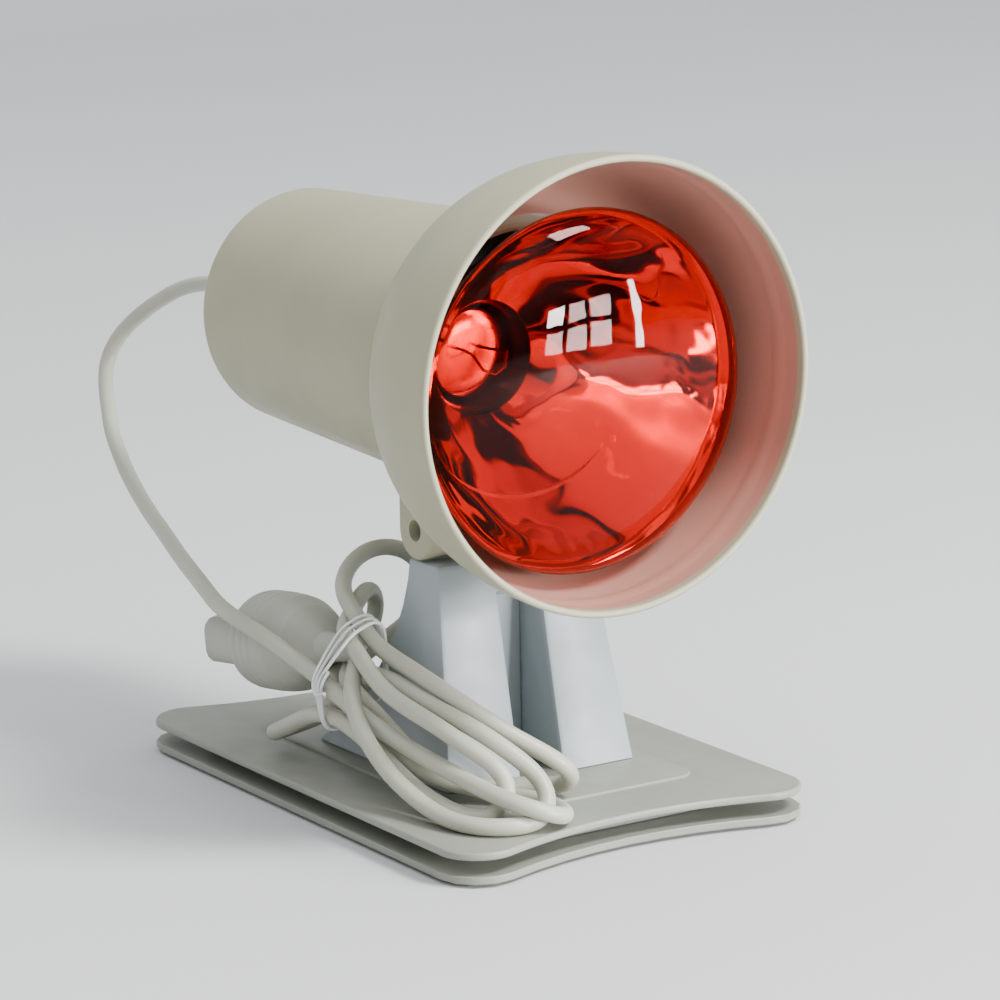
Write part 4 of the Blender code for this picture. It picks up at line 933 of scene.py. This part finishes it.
nodeFinish = {
    "foot_": "foot", "base_screw": "steel", "leg_screw": "steel", "ballast_plate": "iron",
    "stand_tie": "steel", "pivot_bolt": "steel", "pivot_nut": "steel", "friction_washer": "nylon",
    "heat_shield": "aluminium", "bulb_cap": "brass", "bulb_insulator": "bakelite", "bulb_contact": "brass",
    "bulb_stem": "clear", "bulb_filament": "tungsten", "lampholder_body": "ceramic",
    "lampholder_shell": "brass", "lampholder_contact": "brass", "lampholder_bracket": "steel",
    "lampholder_nut": "steel", "bracket_screw": "steel", "terminal_block": "bakelite",
    "cord_lead_1": "wireBrown", "cord_lead_2": "wireBlue",
    "holder_lead_1": "wireBrown", "holder_lead_2": "wireBlue",
}
for name, obj in nodes.items():
    for start, finish in nodeFinish.items():
        if name.startswith(start):
            obj.data.materials.clear()
            obj.data.materials.append(finishes[finish])
            obj.data.shade_smooth()
            obj.data.set_sharp_from_angle(angle=math.radians(32))
print("pieces placed")


# ---- floor, backdrop and light

studio = {
    "floor": ("#CDCDCD", "#C9C9C9"),
    "halfWidth": 4.0, "front": -3.0, "bendFrom": 2.2, "bendRadius": 0.8, "wallTop": 4.0,  # metres
    "zenith": 2.15, "horizon": 0.34, "shade": 0.03,  # sky brightness: above, low down, in its dark patches
    "key": (104.0, (0.9, -1.5, 2.1), 0.7),
    "panes": (7.5, 1.2, 0.1, 0.03),  # power, distance, size and gap of a window's panes
    "streak": (9.0, 1.2, 0.045, 0.34),
}


def makeSky(v):
    # bright overhead, paler round the horizon, with slow dark patches that curved glass picks up
    world = bpy.data.worlds.new("studio")
    world.use_nodes = True
    tree = world.node_tree
    way = addNode(tree, "TexCoord").outputs["Generated"]
    parts = addNode(tree, "SeparateXYZ", {"Vector": way}).outputs
    high = addNode(tree, "MapRange", {"Value": parts["Z"], "From Min": 0.0, "From Max": 0.9,
                                      "To Min": v["horizon"], "To Max": v["zenith"]}).outputs["Result"]
    cloud = addNode(tree, "TexNoise", {"Vector": way, "Scale": 2.3, "Detail": 1.5}).outputs["Fac"]
    patch = addNode(tree, "MapRange", {"Value": cloud, "From Min": 0.47, "From Max": 0.55,
                                       "To Min": v["shade"], "To Max": 1.0}).outputs["Result"]
    front = addNode(tree, "MapRange", {"Value": parts["Y"], "From Min": -0.45,
                                       "From Max": 0.0}).outputs["Result"]
    mixed = addNode(tree, "Mix", data_type="FLOAT")
    tree.links.new(front, mixed.inputs["Factor"])
    tree.links.new(patch, mixed.inputs["A"])
    mixed.inputs["B"].default_value = 1.0
    both = addNode(tree, "Math", operation="MULTIPLY")
    tree.links.new(high, both.inputs[0])
    tree.links.new(mixed.outputs["Result"], both.inputs[1])
    background = tree.nodes["Background"]
    background.inputs["Color"].default_value = toLinear("#F3F6FA")
    tree.links.new(both.outputs["Value"], background.inputs["Strength"])
    bpy.context.scene.world = world


def makeStudio(v):
    mat, tree, shader, place = newMaterial("matt painted sweep, white")
    cloud = noiseAt(tree, place, 600, 2)
    setShader(tree, shader, Base_Color=twoTone(tree, between(tree, cloud, 0, 1), *v["floor"]), Roughness=0.8)
    bend = v["bendRadius"]
    curve = arcPoints((v["bendFrom"], bend), bend, -90, 0, 12)
    profile = np.vstack([[v["front"], 0.0], curve, [v["bendFrom"] + bend, v["wallTop"]]])
    rows = np.array([[(x, y, z) for y, z in profile] for x in (-v["halfWidth"], v["halfWidth"])])
    count = len(profile)
    faces = [[k, k + 1, count + k + 1, count + k] for k in range(count - 1)]
    floor = newObject("sweep", rows, faces, 60, mat)
    makeSky(v)
    power, spot, size = v["key"]
    addLight("key", power, Vector(spot), size, size)
    middle = Vector((-0.014, -0.0925, 0.173))  # where the bulb's face mirrors the window
    power, away, size, gap = v["panes"]
    for column in range(3):
        for row in range(2):
            way = Vector((0.434, -0.899, 0.0)).normalized()
            side = way.cross(Vector((0, 0, 1)))
            at = middle + way * away + side * (size + gap) * (1 - column)
            at.z += (size + gap) * (row - 0.45)
            share = 1.0 if column == 0 and row == 1 else 0.3  # one pane is brighter
            addLight("pane" + str(2 * column + row), power * share, at, size, size)
    power, away, width, height = v["streak"]
    addLight("streak", power, middle + Vector((0.66, -0.75, 0.02)) * away, width, height)


def addLight(name, power, at, width, height):
    data = bpy.data.lights.new(name, "AREA")
    data.shape, data.energy = "RECTANGLE", power
    data.size, data.size_y = width, height
    light = bpy.data.objects.new(name, data)
    bpy.context.scene.collection.objects.link(light)
    light.location = at
    light.rotation_euler = (Vector((0, -0.06, 0.14)) - at).to_track_quat("-Z", "Y").to_euler()


makeStudio(studio)
